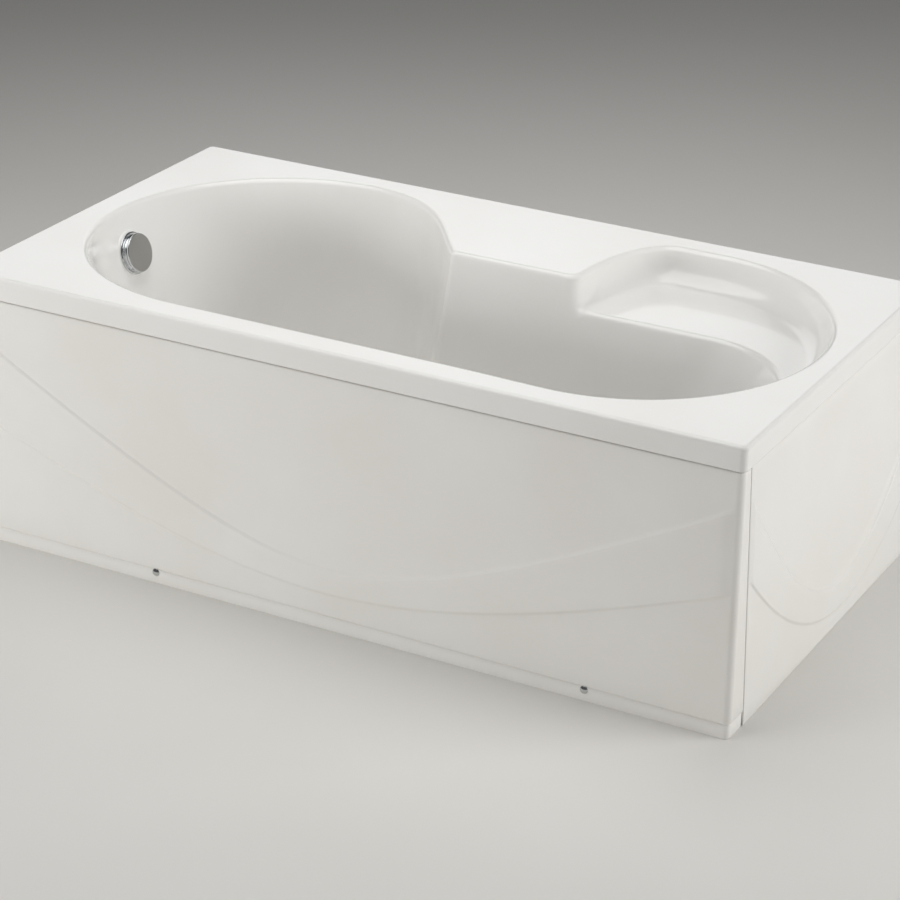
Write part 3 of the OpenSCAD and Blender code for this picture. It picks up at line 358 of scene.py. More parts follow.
def placed(shell, origin, along=(0, 0, 1)):
    """A shell made about Z, set at origin with its Z laid along a direction."""
    z = unit(np.array(along, float))
    helper = np.array([0, 1.0, 0]) if abs(z[1]) < 0.9 else np.array([1.0, 0, 0])
    x = unit(np.cross(helper, z))
    return (shell[0] @ np.stack([x, np.cross(z, x), z]) + np.array(origin, float), *shell[1:])


def prism(outline, low, high, edge):
    """A solid bar of the given outline from low to high, its ends softened by edge and closed."""
    soft = outline * (1 - edge / np.abs(outline).max())
    loops = [(outline * 0, low), (soft, low), (outline, low + edge), (outline, high - edge),
             (soft, high), (outline * 0, high)]
    return loop_shell(np.stack([at_height(o, z) for o, z in loops]))


def rectangle(width, depth, radius):
    """Outline of a rectangle about the origin with rounded corners."""
    w, d = width / 2, depth / 2
    return rounded([[w, d], [-w, d], [-w, -d], [w, -d]], radius, 3)


def tube(side, wall, low, high):
    """A square tube with rounded corners outside and in, open at both ends."""
    outer, inner = rectangle(side, side, 2.5 * MM), rectangle(side - 2 * wall, side - 2 * wall, MM)
    soft = outer * (1 - 0.4 * MM / side)
    loops = [(soft, low), (outer, low + 0.3 * MM), (outer, high - 0.3 * MM), (soft, high),
             (inner, high), (inner, low)]
    return loop_shell(np.stack([at_height(o, z) for o, z in loops]))


def piece(name, shells, materials, body, replaces, sharp=32):
    """Joins shells into one named piece, with its materials, that rides on a body."""
    count = np.cumsum([0] + [len(s[0]) for s in shells])
    mesh = bpy.data.meshes.new(name)
    faces = np.concatenate([s[1] + n for s, n in zip(shells, count)])
    mesh.from_pydata(np.concatenate([s[0] for s in shells]).tolist(), [], faces.tolist())
    finish = np.concatenate([s[2] for s in shells]).astype(np.int32)
    mesh.polygons.foreach_set("material_index", finish)
    work = bmesh.new()
    work.from_mesh(mesh)
    bmesh.ops.remove_doubles(work, verts=work.verts, dist=2e-6)
    bmesh.ops.dissolve_degenerate(work, edges=work.edges, dist=1e-7)
    work.to_mesh(mesh)
    work.free()
    mesh.shade_smooth()
    mesh.set_sharp_from_angle(angle=math.radians(sharp))
    for m in materials:
        mesh.materials.append(m)
    made = bpy.data.objects.new(name, mesh)
    bpy.context.scene.collection.objects.link(made)
    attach(made, body)
    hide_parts(*replaces)
    return made


# Materials
def linear(code):
    """An sRGB hex colour as linear red, green, blue and alpha."""
    c = np.array([int(code[k:k + 2], 16) / 255 for k in (1, 3, 5)])
    c = np.where(c <= 0.04045, c / 12.92, ((c + 0.055) / 1.055) ** 2.4)
    return (*c.tolist(), 1.0)


def add(tree, node, inputs, **settings):
    """Gives a node its settings and a value or a link for each input; a kind's name makes it."""
    node = tree.nodes.new("ShaderNode" + node) if isinstance(node, str) else node
    for key, value in settings.items():
        setattr(node, key, value)
    for key, value in inputs.items():
        if isinstance(value, bpy.types.NodeSocket):
            tree.links.new(value, node.inputs[key])
        else:
            node.inputs[key].default_value = value
    return node


def new_material(name):
    """An empty material: itself, its node tree, its shader and its object coordinates."""
    made = bpy.data.materials.new(name)
    made.use_nodes = True
    tree = made.node_tree
    return made, tree, tree.nodes["Principled BSDF"], add(tree, "TexCoord", {}).outputs["Object"]


def clouded(name, colours, cloud, rough, grain, depth, metal=0.0, ior=1.5, coat=0.0):
    """A finish made of two patterns: a slow cloud that moves the colour and the gloss a little,
    and a fine grain, up to depth high, that the light catches."""
    made, tree, shader, place = new_material(name)
    slow = add(tree, "TexNoise", {"Vector": place, "Scale": 1 / cloud, "Detail": 4.0})
    share = add(tree, "MapRange", {"Value": slow.outputs[0], "From Min": 0.32, "From Max": 0.68})
    tint = add(tree, "Mix", {0: share.outputs[0], 6: linear(colours[0]), 7: linear(colours[1])},
               data_type="RGBA")
    gloss = add(tree, "MapRange", {"Value": slow.outputs[0], "From Min": 0.32, "From Max": 0.68,
                                   "To Min": rough[0], "To Max": rough[1]})
    fine = add(tree, "TexNoise", {"Vector": place, "Scale": 1 / grain, "Detail": 3.0})
    bump = add(tree, "Bump", {"Height": fine.outputs[0], "Distance": depth})
    add(tree, shader, {"Base Color": tint.outputs[2], "Roughness": gloss.outputs[0],
                       "Normal": bump.outputs[0], "Metallic": metal, "IOR": ior,
                       "Coat Weight": coat})
    return made


# Cast acrylic sheet, drawn hot over a mould: a clear deep gloss, and slow waves a hand apart
# that make long reflections wander a little
ACRYLIC = clouded("cast_acrylic_gloss", ("#f1f0ed", "#eeece8"), 0.3, (0.1, 0.16),
                  0.12, 0.06 * MM, ior=1.49, coat=0.2)
# Thinner acrylic of the panels: a softer gloss, with more wave because less holds it flat
PANEL = clouded("panel_acrylic_gloss", ("#efeeea", "#ece9e4"), 0.25, (0.2, 0.27),
                0.1, 0.12 * MM, ior=1.49, coat=0.1)
# Chrome on polished brass: near mirror, with the buffing's faint cloud
CHROME = clouded("polished_chrome_plate", ("#dfe1e3", "#d2d4d6"), 0.02, (0.03, 0.06),
                 0.004, 0.002 * MM, metal=1.0)
# Brass turned on a lathe and left bare: warm, with fine tool marks
BRASS = clouded("turned_brass", ("#caa45c", "#b58d47"), 0.012, (0.16, 0.3), 0.0008, 0.01 * MM,
                metal=1.0)
# Bright zinc plate on pressed steel: pale, slightly blue, with a patchy lustre
ZINC = clouded("bright_zinc_plate", ("#c6cacd", "#a6abb0"), 0.008, (0.24, 0.42), 0.0015,
               0.02 * MM, metal=1.0)
# Grey primer sprayed on welded steel tube: dull, a little mottled, with the spray's grain
PRIMER = clouded("grey_steel_primer", ("#8e9294", "#797d80"), 0.05, (0.4, 0.58), 0.0018,
                 0.05 * MM)
# Black polypropylene from a spark-eroded mould: soft sheen on an even fine grain
BLACK_PLASTIC = clouded("black_polypropylene", ("#2a2b2e", "#1f2022"), 0.03, (0.36, 0.5),
                        0.0012, 0.03 * MM, ior=1.49)
# White polypropylene: the same grain, slightly warm where it is thick
WHITE_PLASTIC = clouded("white_polypropylene", ("#e8e7e1", "#d9d7ce"), 0.03, (0.32, 0.46),
                        0.0012, 0.03 * MM, ior=1.49)
# Moulded sealing rubber: almost no gloss and a dusty bloom
RUBBER = clouded("epdm_sealing_rubber", ("#262626", "#171717"), 0.01, (0.62, 0.8), 0.0008,
                 0.03 * MM, ior=1.52)
# Extruded PVC round the control cable: smooth, with a long low sheen
SHEATH = clouded("pvc_cable_sheath", ("#303134", "#242527"), 0.02, (0.34, 0.46), 0.001,
                 0.015 * MM, ior=1.53)


def glass_fibre():
    """Chopped strands of glass, some 25 mm long, rolled into polyester resin behind the shell.

    Cells of 9 mm stand for the crossing strands: their edges stand up, and the resin between
    them is cloudy and a little yellow.
    """
    made, tree, shader, place = new_material("glass_fibre_laminate")
    cloud = add(tree, "TexNoise", {"Vector": place, "Scale": 1 / 0.05, "Detail": 5.0})
    share = add(tree, "MapRange", {"Value": cloud.outputs[0], "From Min": 0.35, "From Max": 0.65})
    tint = add(tree, "Mix", {0: share.outputs[0], 6: linear("#d9d5c2"), 7: linear("#bdb69c")},
               data_type="RGBA")
    strands = add(tree, "TexVoronoi", {"Vector": place, "Scale": 1 / 0.009},
                  feature="DISTANCE_TO_EDGE")
    lumps = add(tree, "TexNoise", {"Vector": place, "Scale": 1 / 0.015, "Detail": 6.0})
    low = add(tree, "Bump", {"Height": lumps.outputs[0], "Distance": 1.5 * MM})
    high = add(tree, "Bump", {"Height": strands.outputs["Distance"], "Distance": 0.6 * MM,
                              "Normal": low.outputs[0]})
    gloss = add(tree, "MapRange", {"Value": lumps.outputs[0], "To Min": 0.3, "To Max": 0.6})
    add(tree, shader, {"Base Color": tint.outputs[2], "Roughness": gloss.outputs[0],
                       "Normal": high.outputs[0], "IOR": 1.54})
    return made


def turned_face():
    """Satin chrome over a face cut on a lathe: rings round the knob's axis hold a fan of light.

    The real tool marks are 0.1 mm apart, too fine to show; they are drawn 0.8 mm apart.
    """
    made, tree, shader, place = new_material("satin_chrome_turned_face")
    local = add(tree, "Mapping", {"Vector": place, "Location": tuple(OVER_AT.tolist()),
                                  "Rotation": (0, -OVER_TILT, 0)}, vector_type="TEXTURE")
    flat = add(tree, "Mapping", {"Vector": local.outputs[0], "Scale": (0, 1, 1)})
    rings = add(tree, "TexWave", {"Vector": flat.outputs[0], "Scale": math.pi / (10 * 0.8 * MM),
                                  "Distortion": 0.4, "Detail": 2.0},
                wave_type="RINGS", rings_direction="SPHERICAL")
    gloss = add(tree, "MapRange", {"Value": rings.outputs[1], "To Min": 0.26, "To Max": 0.4})
    bump = add(tree, "Bump", {"Height": rings.outputs[1], "Distance": 0.01 * MM})
    add(tree, shader, {"Base Color": linear("#b9b9b7"), "Metallic": 1.0,
                       "Roughness": gloss.outputs[0], "Normal": bump.outputs[0]})
    return made


def sawn_spruce():
    """Sawn spruce: growth rings some 5 mm apart, drawn out along the board, and saw fuzz."""
    made, tree, shader, place = new_material("sawn_spruce")
    long = add(tree, "Mapping", {"Vector": place, "Scale": (0.05, 1, 1)})
    rings = add(tree, "TexWave", {"Vector": long.outputs[0], "Scale": math.pi / (10 * 5 * MM),
                                  "Distortion": 6.0, "Detail": 3.0, "Detail Scale": 1.5},
                bands_direction="Y")
    tint = add(tree, "Mix", {0: rings.outputs[1], 6: linear("#dcc598"), 7: linear("#b9945e")},
               data_type="RGBA")
    saw = add(tree, "Mapping", {"Vector": place, "Scale": (0.2, 1, 1)})
    fuzz = add(tree, "TexNoise", {"Vector": saw.outputs[0], "Scale": 1 / 0.0015, "Detail": 4.0})
    gloss = add(tree, "MapRange", {"Value": fuzz.outputs[0], "To Min": 0.6, "To Max": 0.85})
    bump = add(tree, "Bump", {"Height": fuzz.outputs[0], "Distance": 0.15 * MM})
    add(tree, shader, {"Base Color": tint.outputs[2], "Roughness": gloss.outputs[0],
                       "Normal": bump.outputs[0], "IOR": 1.5})
    return made


def particle_board():
    """Raw particle board: pressed chips some 4 mm across in mixed browns, open and matt."""
    made, tree, shader, place = new_material("raw_particle_board")
    chips = add(tree, "TexVoronoi", {"Vector": place, "Scale": 1 / 0.004})
    tone = add(tree, "SeparateColor", {0: chips.outputs["Color"]})
    tint = add(tree, "Mix", {0: tone.outputs[0], 6: linear("#cfb487"), 7: linear("#97784b")},
               data_type="RGBA")
    gloss = add(tree, "MapRange", {"Value": tone.outputs[1], "To Min": 0.7, "To Max": 0.9})
    bump = add(tree, "Bump", {"Height": chips.outputs["Distance"], "Distance": 0.2 * MM})
    add(tree, shader, {"Base Color": tint.outputs[2], "Roughness": gloss.outputs[0],
                       "Normal": bump.outputs[0], "IOR": 1.5})
    return made


LAMINATE, FACE = glass_fibre(), turned_face()
SPRUCE, CHIPBOARD = sawn_spruce(), particle_board()
SLOT_MATERIALS = {
    "acrylic": ACRYLIC, "panel_acrylic": PANEL, "board": CHIPBOARD, "timber": SPRUCE,
    "frame_steel": PRIMER, "zinc_steel": ZINC, "black_plastic": BLACK_PLASTIC, "chrome": CHROME,
    "satin_chrome": FACE, "brass": BRASS, "white_plastic": WHITE_PLASTIC,
    "cable_sheath": SHEATH, "rubber": RUBBER,
}
for part in frame["record"]["subparts"]:
    for held in nodes[part["node"]].material_slots:
        held.material = SLOT_MATERIALS[part["material_slot"]]


# Tub shell
def tub_shell():
    """One loop of rows: deck, rim, wall, shelf, wall, floor and waste, then back behind them all.

    Between the rim and the shelf's level a wall is a plain slope where it is narrow, and a cove,
    a shelf and a rolled edge where it is wide; the two are blended by the width. The outer face
    lies one thickness behind the inner one, against its normal.
    """
    rim, level, base = rim_outline(), level_outline(), base_outline()
    into = level - rim
    s = np.linalg.norm(into, axis=1)
    e, wide = into / s[:, None], smooth((s - 25 * MM) / (65 * MM))
    k = np.minimum(1, s / (100 * MM))
    lean = (base - level) / (LEVEL_Z - FLOOR_Z)

    def between(share, plan, z):
        plain = at_height(rim + into * share, TUB_H - RIM_R + (LEVEL_Z - TUB_H + RIM_R) * share)
        return plain + (at_height(plan, z) - plain) * wide[:, None]

    def inward(outline):
        ahead = unit(np.roll(outline, -1, 0) - np.roll(outline, 1, 0))
        return np.column_stack([-ahead[:, 1], ahead[:, 0]])
    cove = between(0.4, rim + e * (22 * MM * k)[:, None], SHELF_Z + 2 * MM)
    edge = between(1.0, level - lean * (SHELF_Z - LEVEL_Z), SHELF_Z)
    floor = at_height(base + inward(base) * (FLOOR_R + 8 * MM), FLOOR_Z)
    start = at_height(rim - inward(rim) * (RIM_R + 3 * MM), TUB_H)
    deck = at_height(deck_outline(8 * MM), TUB_H)
    inner = np.stack([deck, deck + (start - deck) * 0.5] + bent(
        [start, at_height(rim, TUB_H), cove, edge, at_height(base, FLOOR_Z), floor],
        [RIM_R, 5 * MM + (34 * MM * k - 5 * MM) * wide, 12 * MM - 2 * MM * wide, FLOOR_R],
        [8, 12, 8, 12], [1, 4, 6, 9, 2]))
    down = np.gradient(inner, axis=0)
    ahead = np.roll(inner, -1, axis=1) - np.roll(inner, 1, axis=1)
    skin = inner - SHELL_T * unit(np.cross(ahead, down))
    low = np.clip((FLOOR_Z + FLOOR_R - inner[:, :, 2]) / FLOOR_R, 0, 1)
    inner[:, :, 2] += low ** 2 * FLOOR_FALL * (inner[:, :, 0] - DRAIN_X)
    way = np.arctan2(floor[:, 1], floor[:, 0] - DRAIN_X)
    spoke = np.column_stack([np.cos(way), np.sin(way)])

    def ring(r, z, fall=0.0):
        return at_height(spoke * r + [DRAIN_X, 0], z + fall * r * spoke[:, 0])
    seat, hole, pad = 35.3 * MM, 26 * MM, 39 * MM
    waste = [ring(r, FLOOR_Z, FLOOR_FALL) for r in (80 * MM, 50 * MM, seat + 0.8 * MM)]
    waste += [ring(seat, FLOOR_Z - 0.6 * MM), ring(seat, FLOOR_Z - 1.5 * MM),
              ring(hole, FLOOR_Z - 1.5 * MM), ring(hole, UNDER_Z - 4 * MM),
              ring(pad, UNDER_Z - 4 * MM), ring(pad, UNDER_Z)]
    under = skin[::-1][::2]
    lip = [(SHELL_T + 2 * MM, DECK_UNDER), (SHELL_T, DECK_UNDER - 2 * MM),
           (SHELL_T, LIP_Z + 0.6 * MM), (SHELL_T - 0.6 * MM, LIP_Z), (MM, LIP_Z),
           (0.3 * MM, LIP_Z + 0.3 * MM), (0, LIP_Z + MM), (0, LIP_Z + 2.5 * MM)]
    lip += [(0, z) for z in np.linspace(LIP_Z + 12 * MM, TUB_H - EDGE_R - 0.5 * MM, 3)]
    lip += [(EDGE_R * (1 - math.cos(a)), TUB_H - EDGE_R * (1 - math.sin(a)))
            for a in np.linspace(0, math.pi / 2, 7)]
    rows = list(inner) + waste + list(under) + [at_height(deck_outline(d), z) for d, z in lip]
    finish = np.zeros(len(rows), int)
    finish[len(inner) + 6:len(inner) + len(waste) + len(under) + 1] = 1
    return loop_shell(np.stack(rows), finish)


seat_pad = turned(rounded([[0, -8], [47, -8], [44.5, 1.2], [42.2, 3.5], [0, 3.5]],
                          [0, 0, 3, 1.2, 0]) * MM)
piece("bathtub_shell", [tub_shell(), placed(seat_pad, OVER_AT, OVER_AXIS)], [ACRYLIC, LAMINATE],
      "tub", ["tub_shell"], sharp=40)


# Panels
def crescent(lowest, where, slope, soft):
    """Height of a relief's edge along the panel: a hyperbola, lowest at where, with the given
    slope far out and a bottom as soft as the last number."""
    return lambda x: lowest + np.sqrt(soft ** 2 + (slope * (x - where)) ** 2) - soft


FRONT_HIGH = crescent(119 * MM, -3 * MM, 0.59, 182 * MM)
FRONT_LOW = crescent(71.5 * MM, -12 * MM, 0.483, 249 * MM)
END_HIGH = crescent(88 * MM, 70 * MM, 2.05, 1008 * MM)
END_LOW = crescent(33 * MM, 83 * MM, 2.27, 1941 * MM)
BEVEL, FADE, TOP_ROUND, JOINT_ROUND = 9 * MM, 16 * MM, 3 * MM, 2.5 * MM


def panel_rows(low, high, foot, top, counts=(8, 6, 14, 6, 12)):
    """Heights of a panel's rows from its top down: dense across the relief's two bevels."""
    stops = [foot + 0 * low, low - BEVEL / 2, low + BEVEL / 2, high - BEVEL / 2,
             high + BEVEL / 2, top + 0 * low]
    rows = [a + (b - a) * t for a, b, n in zip(stops, stops[1:], counts) for t in steps(n)]
    return np.array(rows + [stops[-1]])[::-1]


def raised(z, low, high):
    """How far the relief stands out: full between its edges, an S-curve across each bevel."""
    return RELIEF_H * smooth((z - low) / BEVEL + 0.5) * smooth((high - z) / BEVEL + 0.5)


def rolled(away):
    """How far a face drops towards its edge: the last JOINT_ROUND of it is a quarter circle."""
    return JOINT_ROUND - np.sqrt(JOINT_ROUND ** 2 - np.maximum(JOINT_ROUND - away, 0) ** 2)


TOP_ROWS = [(TOP_ROUND * (1 - math.sin(a)), PANEL_TOP - TOP_ROUND * (1 - math.cos(a)))
            for a in np.linspace(0, math.pi / 2, 6)[:-1]]


def joint_y(z):
    """Where the leaning joint between the panels starts, at height z."""
    return RETURN_W - HALF_W + (PANEL_TOP - z) * RETURN_SPLAY / (PANEL_TOP - PLINTH_H)


def front_panel():
    """The face runs along the front, round the corner and along the return to the leaning joint.

    Its rows follow the relief; then it steps back to the plinth, whose corner is set back
    further, and goes down to the floor.
    """
    n_along, n_corner, n_return = 150, 14, 16
    a = np.radians(np.linspace(-90, 0, n_corner))
    share = 1 - (1 - (1 + np.arange(n_return)) / n_return) ** 2.2
    way = np.concatenate([np.full(n_along, -math.pi / 2), a, np.zeros(n_return)])

    def row(ax, ay, z, out=0.0):
        r = CORNER_R - max(ax, ay)
        cx, cy = FACE_X - ax - r, ay + r - FACE_Y
        x = np.concatenate([steps(n_along, 2 * MM - HALF_L, cx), cx + r * np.cos(a),
                            np.full(n_return, FACE_X - ax)])
        z = np.broadcast_to(z, x.shape)
        end = joint_y(np.maximum(z[-n_return:], PLINTH_H))
        y = np.concatenate([np.full(n_along, ay - FACE_Y), cy + r * np.sin(a),
                            cy + (end - cy) * share])
        return np.stack([x + out * np.cos(way), y + out * np.sin(way), z], 1)
    x = row(0, 0, 0.0)[:, 0]
    low, high = FRONT_LOW(x), FRONT_HIGH(x)
    full = 1 - smooth((x - x[n_along] + FADE) / FADE)
    edge = np.concatenate([np.zeros(n_along + n_corner), rolled((1 - share) * 1.5 * RETURN_W)])
    foot, top = PLINTH_H + 1.2 * MM, PANEL_TOP - TOP_ROUND
    heights = panel_rows(low, high, foot, top)
    t, p, q = PANEL_T, PLINTH_CORNER, PLINTH_BACK
    inside = np.interp(heights, [foot, top], [PLINTH_H + t + 1.2 * MM, PANEL_TOP - t - 1.2 * MM])
    front = [row(FLANGE_W, FLANGE_W, PANEL_TOP)] + [row(d, d, z, -edge) for d, z in TOP_ROWS]
    front += [row(0, 0, z, raised(z, low, high) * full - edge) for z in heights]
    groove = [(0.35, 0.35, 0.3), (1, 1, 0), (3, 3, 0), (3, 3, -2.2),
              (p / MM + 0.5, q / MM + 0.5, -2.8)]
    front += [row(ax * MM, ay * MM, PLINTH_H + z * MM, -edge) for ax, ay, z in groove]
    front += [row(p, q, PLINTH_H - 3.5 * MM, -edge), row(p, q, 0.8 * MM, -edge),
              row(p + 0.2 * MM, q + 0.2 * MM, 0.2 * MM, -edge), row(p + 0.8 * MM, q + 0.8 * MM, 0)]
    back = [row(FLANGE_W, FLANGE_W, PANEL_TOP - t), row(t, t, PANEL_TOP - t),
            row(t, t, PANEL_TOP - t - MM)]
    back += [row(t, t, z) for z in inside]
    back += [row(t, t, PLINTH_H + t + MM), row(t, t, PLINTH_H + t),
             row(p + t, q + t, PLINTH_H + t), row(p + t, q + t, PLINTH_H - MM),
             row(p + t, q + t, 2 * MM), row(p + t, q + t, 0.2 * MM), row(p + t, q + t, 0)]
    return sheet_shell(np.stack(front), np.stack(back))


def end_panel():
    """A flat face from the leaning joint to the back wall, with its own relief and a top flange."""
    n = 130
    share = np.linspace(0, 1, n) ** 1.6
    y_end = HALF_W - 3 * MM
    away = share * (y_end + HALF_W - RETURN_W - RETURN_SPLAY / 2)
    full, side = smooth(away / FADE), rolled(away)

    def row(inset, z):
        z = np.broadcast_to(z, (n,))
        edge = joint_y(np.maximum(z, PLINTH_H)) + PANEL_JOINT
        x = np.broadcast_to(FACE_X - inset, (n,))
        return np.stack([x, edge + (y_end - edge) * share, z], 1)

    def edge_height(relief):
        """The relief's height on each column, whose place along the panel leans with the joint."""
        z = np.full(n, 0.2)
        for turn in range(6):
            z = relief(row(0, z)[:, 1])
        return z
    low, high = edge_height(END_LOW), edge_height(END_HIGH)
    foot, top, t = MM, PANEL_TOP - TOP_ROUND, PANEL_T
    heights = panel_rows(low, high, foot, top)
    front = [row(FLANGE_W, PANEL_TOP)] + [row(d + side, z) for d, z in TOP_ROWS]
    front += [row(side - raised(z, low, high) * full, z) for z in heights]
    front += [row(0.3 * MM + side, 0.3 * MM), row(MM + side, 0.0)]
    back = [row(FLANGE_W, PANEL_TOP - t), row(t, PANEL_TOP - t), row(t, PANEL_TOP - t - MM)]
    back += [row(t, z) for z in np.interp(heights, [foot, top], [foot, PANEL_TOP - t - 1.2 * MM])]
    back += [row(t, 0.3 * MM), row(t, 0.0)]
    return sheet_shell(np.stack(front), np.stack(back))


piece("apron_front", [front_panel()], [PANEL], "tub", ["front_panel"], sharp=50)
piece("apron_end", [end_panel()], [PANEL], "tub", ["end_panel"], sharp=50)

# Dome-head screws: a cap cut from a ball, on a short shank
screw_low, screw_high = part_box("panel_screws")
HEAD_R, DOME = 7.5 * MM, 4 * MM
BALL_R = (HEAD_R ** 2 + DOME ** 2) / (2 * DOME)
dome_arc = np.linspace(math.acos(HEAD_R / BALL_R), math.pi / 2, 12)
cap_rows = np.stack([BALL_R * np.cos(dome_arc), BALL_R * np.sin(dome_arc) - BALL_R + DOME], 1)
shank = np.array([[0, -16], [3, -16], [3, 0]]) * MM
screws = [placed(turned(np.concatenate([shank, cap_rows]), 48),
                 [x, PLINTH_BACK - FACE_Y, (screw_low.z + screw_high.z) / 2], [0, -1, 0])
          for x in (screw_low.x + HEAD_R, screw_high.x - HEAD_R)]
piece("dome_screws", screws, [CHROME], "tub", ["panel_screws"], sharp=40)


# Overflow knob: sizes in mm, heights along its axis from the face of the wall
KNOB_R, KNOB_BACK, KNOB_FACE, SPINDLE_R = 36.5, 14.3, 19.8, 5
RING_R, RING_FRONT, NECK_R, NECK_BORE, NECK_BACK = 40.5, 7, 25, 22, -15
WAIST_R, WAIST_END, SEAT_PROUD = 31.4, 14, 3.5
SLOT_R, SLOT_W, SLOT_MID, SLOT_L = 27, 8, 10.3, 4.8


def slotted(r, a, z):
    """Three water slots under the waist: the radius drops where the angle and height lie in one."""
    inside = np.zeros(r.shape, bool)
    for turn in (-35, 0, 35):
        off = np.abs((a - math.radians(turn) + math.pi) % (2 * math.pi) - math.pi)
        inside |= (off * r < SLOT_W / 2 * MM) & (np.abs(z - SLOT_MID * MM) < SLOT_L / 2 * MM)
    return np.where(inside, np.minimum(r, SLOT_R * MM), r)


def spokes(near, far, width, low, high, first):
    """Three flat arms between two radii about Z, in mm; the first at an angle in degrees."""
    bar = prism(rectangle((far - near) * MM, width * MM, 0.4 * MM), low * MM, high * MM, 0.3 * MM)
    made = []
    for turn in (first, first + 120, first + 240):
        c, s = math.cos(math.radians(turn)), math.sin(math.radians(turn))
        about_z = np.array([[c, s, 0], [-s, c, 0], [0, 0, 1]])
        made.append(((bar[0] + [(near + far) / 2 * MM, 0, 0]) @ about_z, *bar[1:]))
    return made


plate = rounded([[NECK_BORE, NECK_BACK], [NECK_R, NECK_BACK], [NECK_R, SEAT_PROUD],
                 [RING_R - 0.6, SEAT_PROUD], [RING_R, 4.2], [RING_R, 5.6],
                 [RING_R - 2, RING_FRONT], [35, RING_FRONT], [32.2, 8.2], [WAIST_R, SLOT_MID],
                 [32, 12.6], [33.6, WAIST_END], [28, WAIST_END], [NECK_BORE, RING_FRONT]],
                [0, 0, 0.3, 0.5, 0.6, 1.4, 1.6, 1.2, 2.5, 5, 2.5, 0.8, 0.5, 1], 7) * MM
hub_bore = SPINDLE_R + 0.05
hub = turned(rounded([[hub_bore, NECK_BACK], [9, NECK_BACK], [9, -3], [hub_bore, -3]],
                     0.4) * MM, 48)
ring_shells = [turned(plate, 144, slotted), hub] + spokes(7.5, 23.5, 4, NECK_BACK, -7, 90)
piece("overflow_ring", [placed(shell, OVER_AT, OVER_AXIS) for shell in ring_shells],
      [CHROME], "tub", ["overflow_faceplate"], sharp=35)
socket = KNOB_BACK + 3
disc = rounded([[0, socket], [SPINDLE_R, socket], [SPINDLE_R, KNOB_BACK], [33, KNOB_BACK],
                [35.9, 15.5], [KNOB_R, 16.8],
                [KNOB_R, 19], [35.6, KNOB_FACE], [0, KNOB_FACE]],
               [0, 0, 0.3, 0.8, 1.2, 1, 0.7, 0.8, 0], 6) * MM
face_rows = (np.minimum(disc[:, 1], np.roll(disc[:, 1], -1)) > (KNOB_FACE - 0.01) * MM).astype(int)
piece("overflow_handle", [placed(turned(disc, 128, finish=face_rows), OVER_AT, OVER_AXIS)],
      [CHROME, FACE], "control", ["overflow_knob"], sharp=35)

# Waste, in mm: flange with its guide, heights from the basin's floor, and the pop-up plug's cap
# with a shallow parabola on top, heights from the cap's foot
FLANGE_R, WASTE_R, WASTE_BORE, WASTE_BACK, GUIDE_TOP, STEM_BORE = 35, 25, 22, -18, -10, 4.05
CAP_R, CAP_TOP, CAP_FALL = 30, 5, 2.5
flange = rounded([[WASTE_BORE, WASTE_BACK], [WASTE_R, WASTE_BACK], [WASTE_R, -1.5],
                  [FLANGE_R, -1.5], [FLANGE_R, -0.3], [33, 1], [26, 1], [WASTE_BORE, -1.2]],
                 [0, 0, 0.2, 0.2, 1, 1.2, 2, 1.5], 6) * MM
guide = [turned(flange),
         turned(rounded([[STEM_BORE, WASTE_BACK], [7, WASTE_BACK], [7, GUIDE_TOP],
                         [STEM_BORE, GUIDE_TOP]], 0.4) * MM, 40)]
guide += spokes(5.8, 22.8, 3, WASTE_BACK, GUIDE_TOP, 0)
piece("waste_ring", [placed(shell, [DRAIN_X, 0, FLOOR_Z]) for shell in guide], [CHROME], "tub",
      ["waste_flange"], sharp=35)
share = steps(12, 1, 0)[1:]
dish = np.stack([CAP_R * share, CAP_TOP - CAP_FALL * share ** 2], 1).tolist()
cap = np.array([[0, 2], [STEM_BORE, 2], [STEM_BORE, 0], [CAP_R - 0.5, 0], [CAP_R, 0.5],
                [CAP_R, 2.1], [29.8, 2.45], [29.4, 2.6]] + dish + [[0, CAP_TOP]]) * MM
piece("plug_top", [placed(turned(cap, 112), [DRAIN_X, 0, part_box("plug_cap")[0].z])], [CHROME],
      "plug", ["plug_cap"], sharp=40)

# Frame of welded square tube; the two end bars, drilled for the feet, stay as they are
for node in ("rail_front", "rail_back", "cross_bar_1", "cross_bar_2", "cross_bar_3",
             "post_front_foot", "post_front_mid", "post_front_head", "post_back_foot",
             "post_back_mid", "post_back_head"):
    low, high = (np.array(v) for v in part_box(node))
    length, side = (high - low).max(), (high - low).min()
    shell = placed(tube(side, 2 * MM, -length / 2, length / 2), (low + high) / 2,
                   np.eye(3)[(high - low).argmax()])
    piece(node + "_tube", [shell], [PRIMER], "tub", [node], sharp=35)

# Battens under the deck and the board under the floor
for node, name, material, slot in (("batten_front", "front_batten", SPRUCE, "timber"),
                                   ("batten_back", "back_batten", SPRUCE, "timber"),
                                   ("base_board", "floor_board", CHIPBOARD, "board")):
    low, high = (np.array(v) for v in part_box(node))
    size = high - low
    bar = prism(rectangle(size[1], size[2], 1.2 * MM), -size[0] / 2, size[0] / 2, 0.8 * MM)
    points = np.roll(bar[0], 1, axis=1) + (low + high) / 2
    piece(name, [(points, *bar[1:])], [material], "tub", [node], sharp=35)


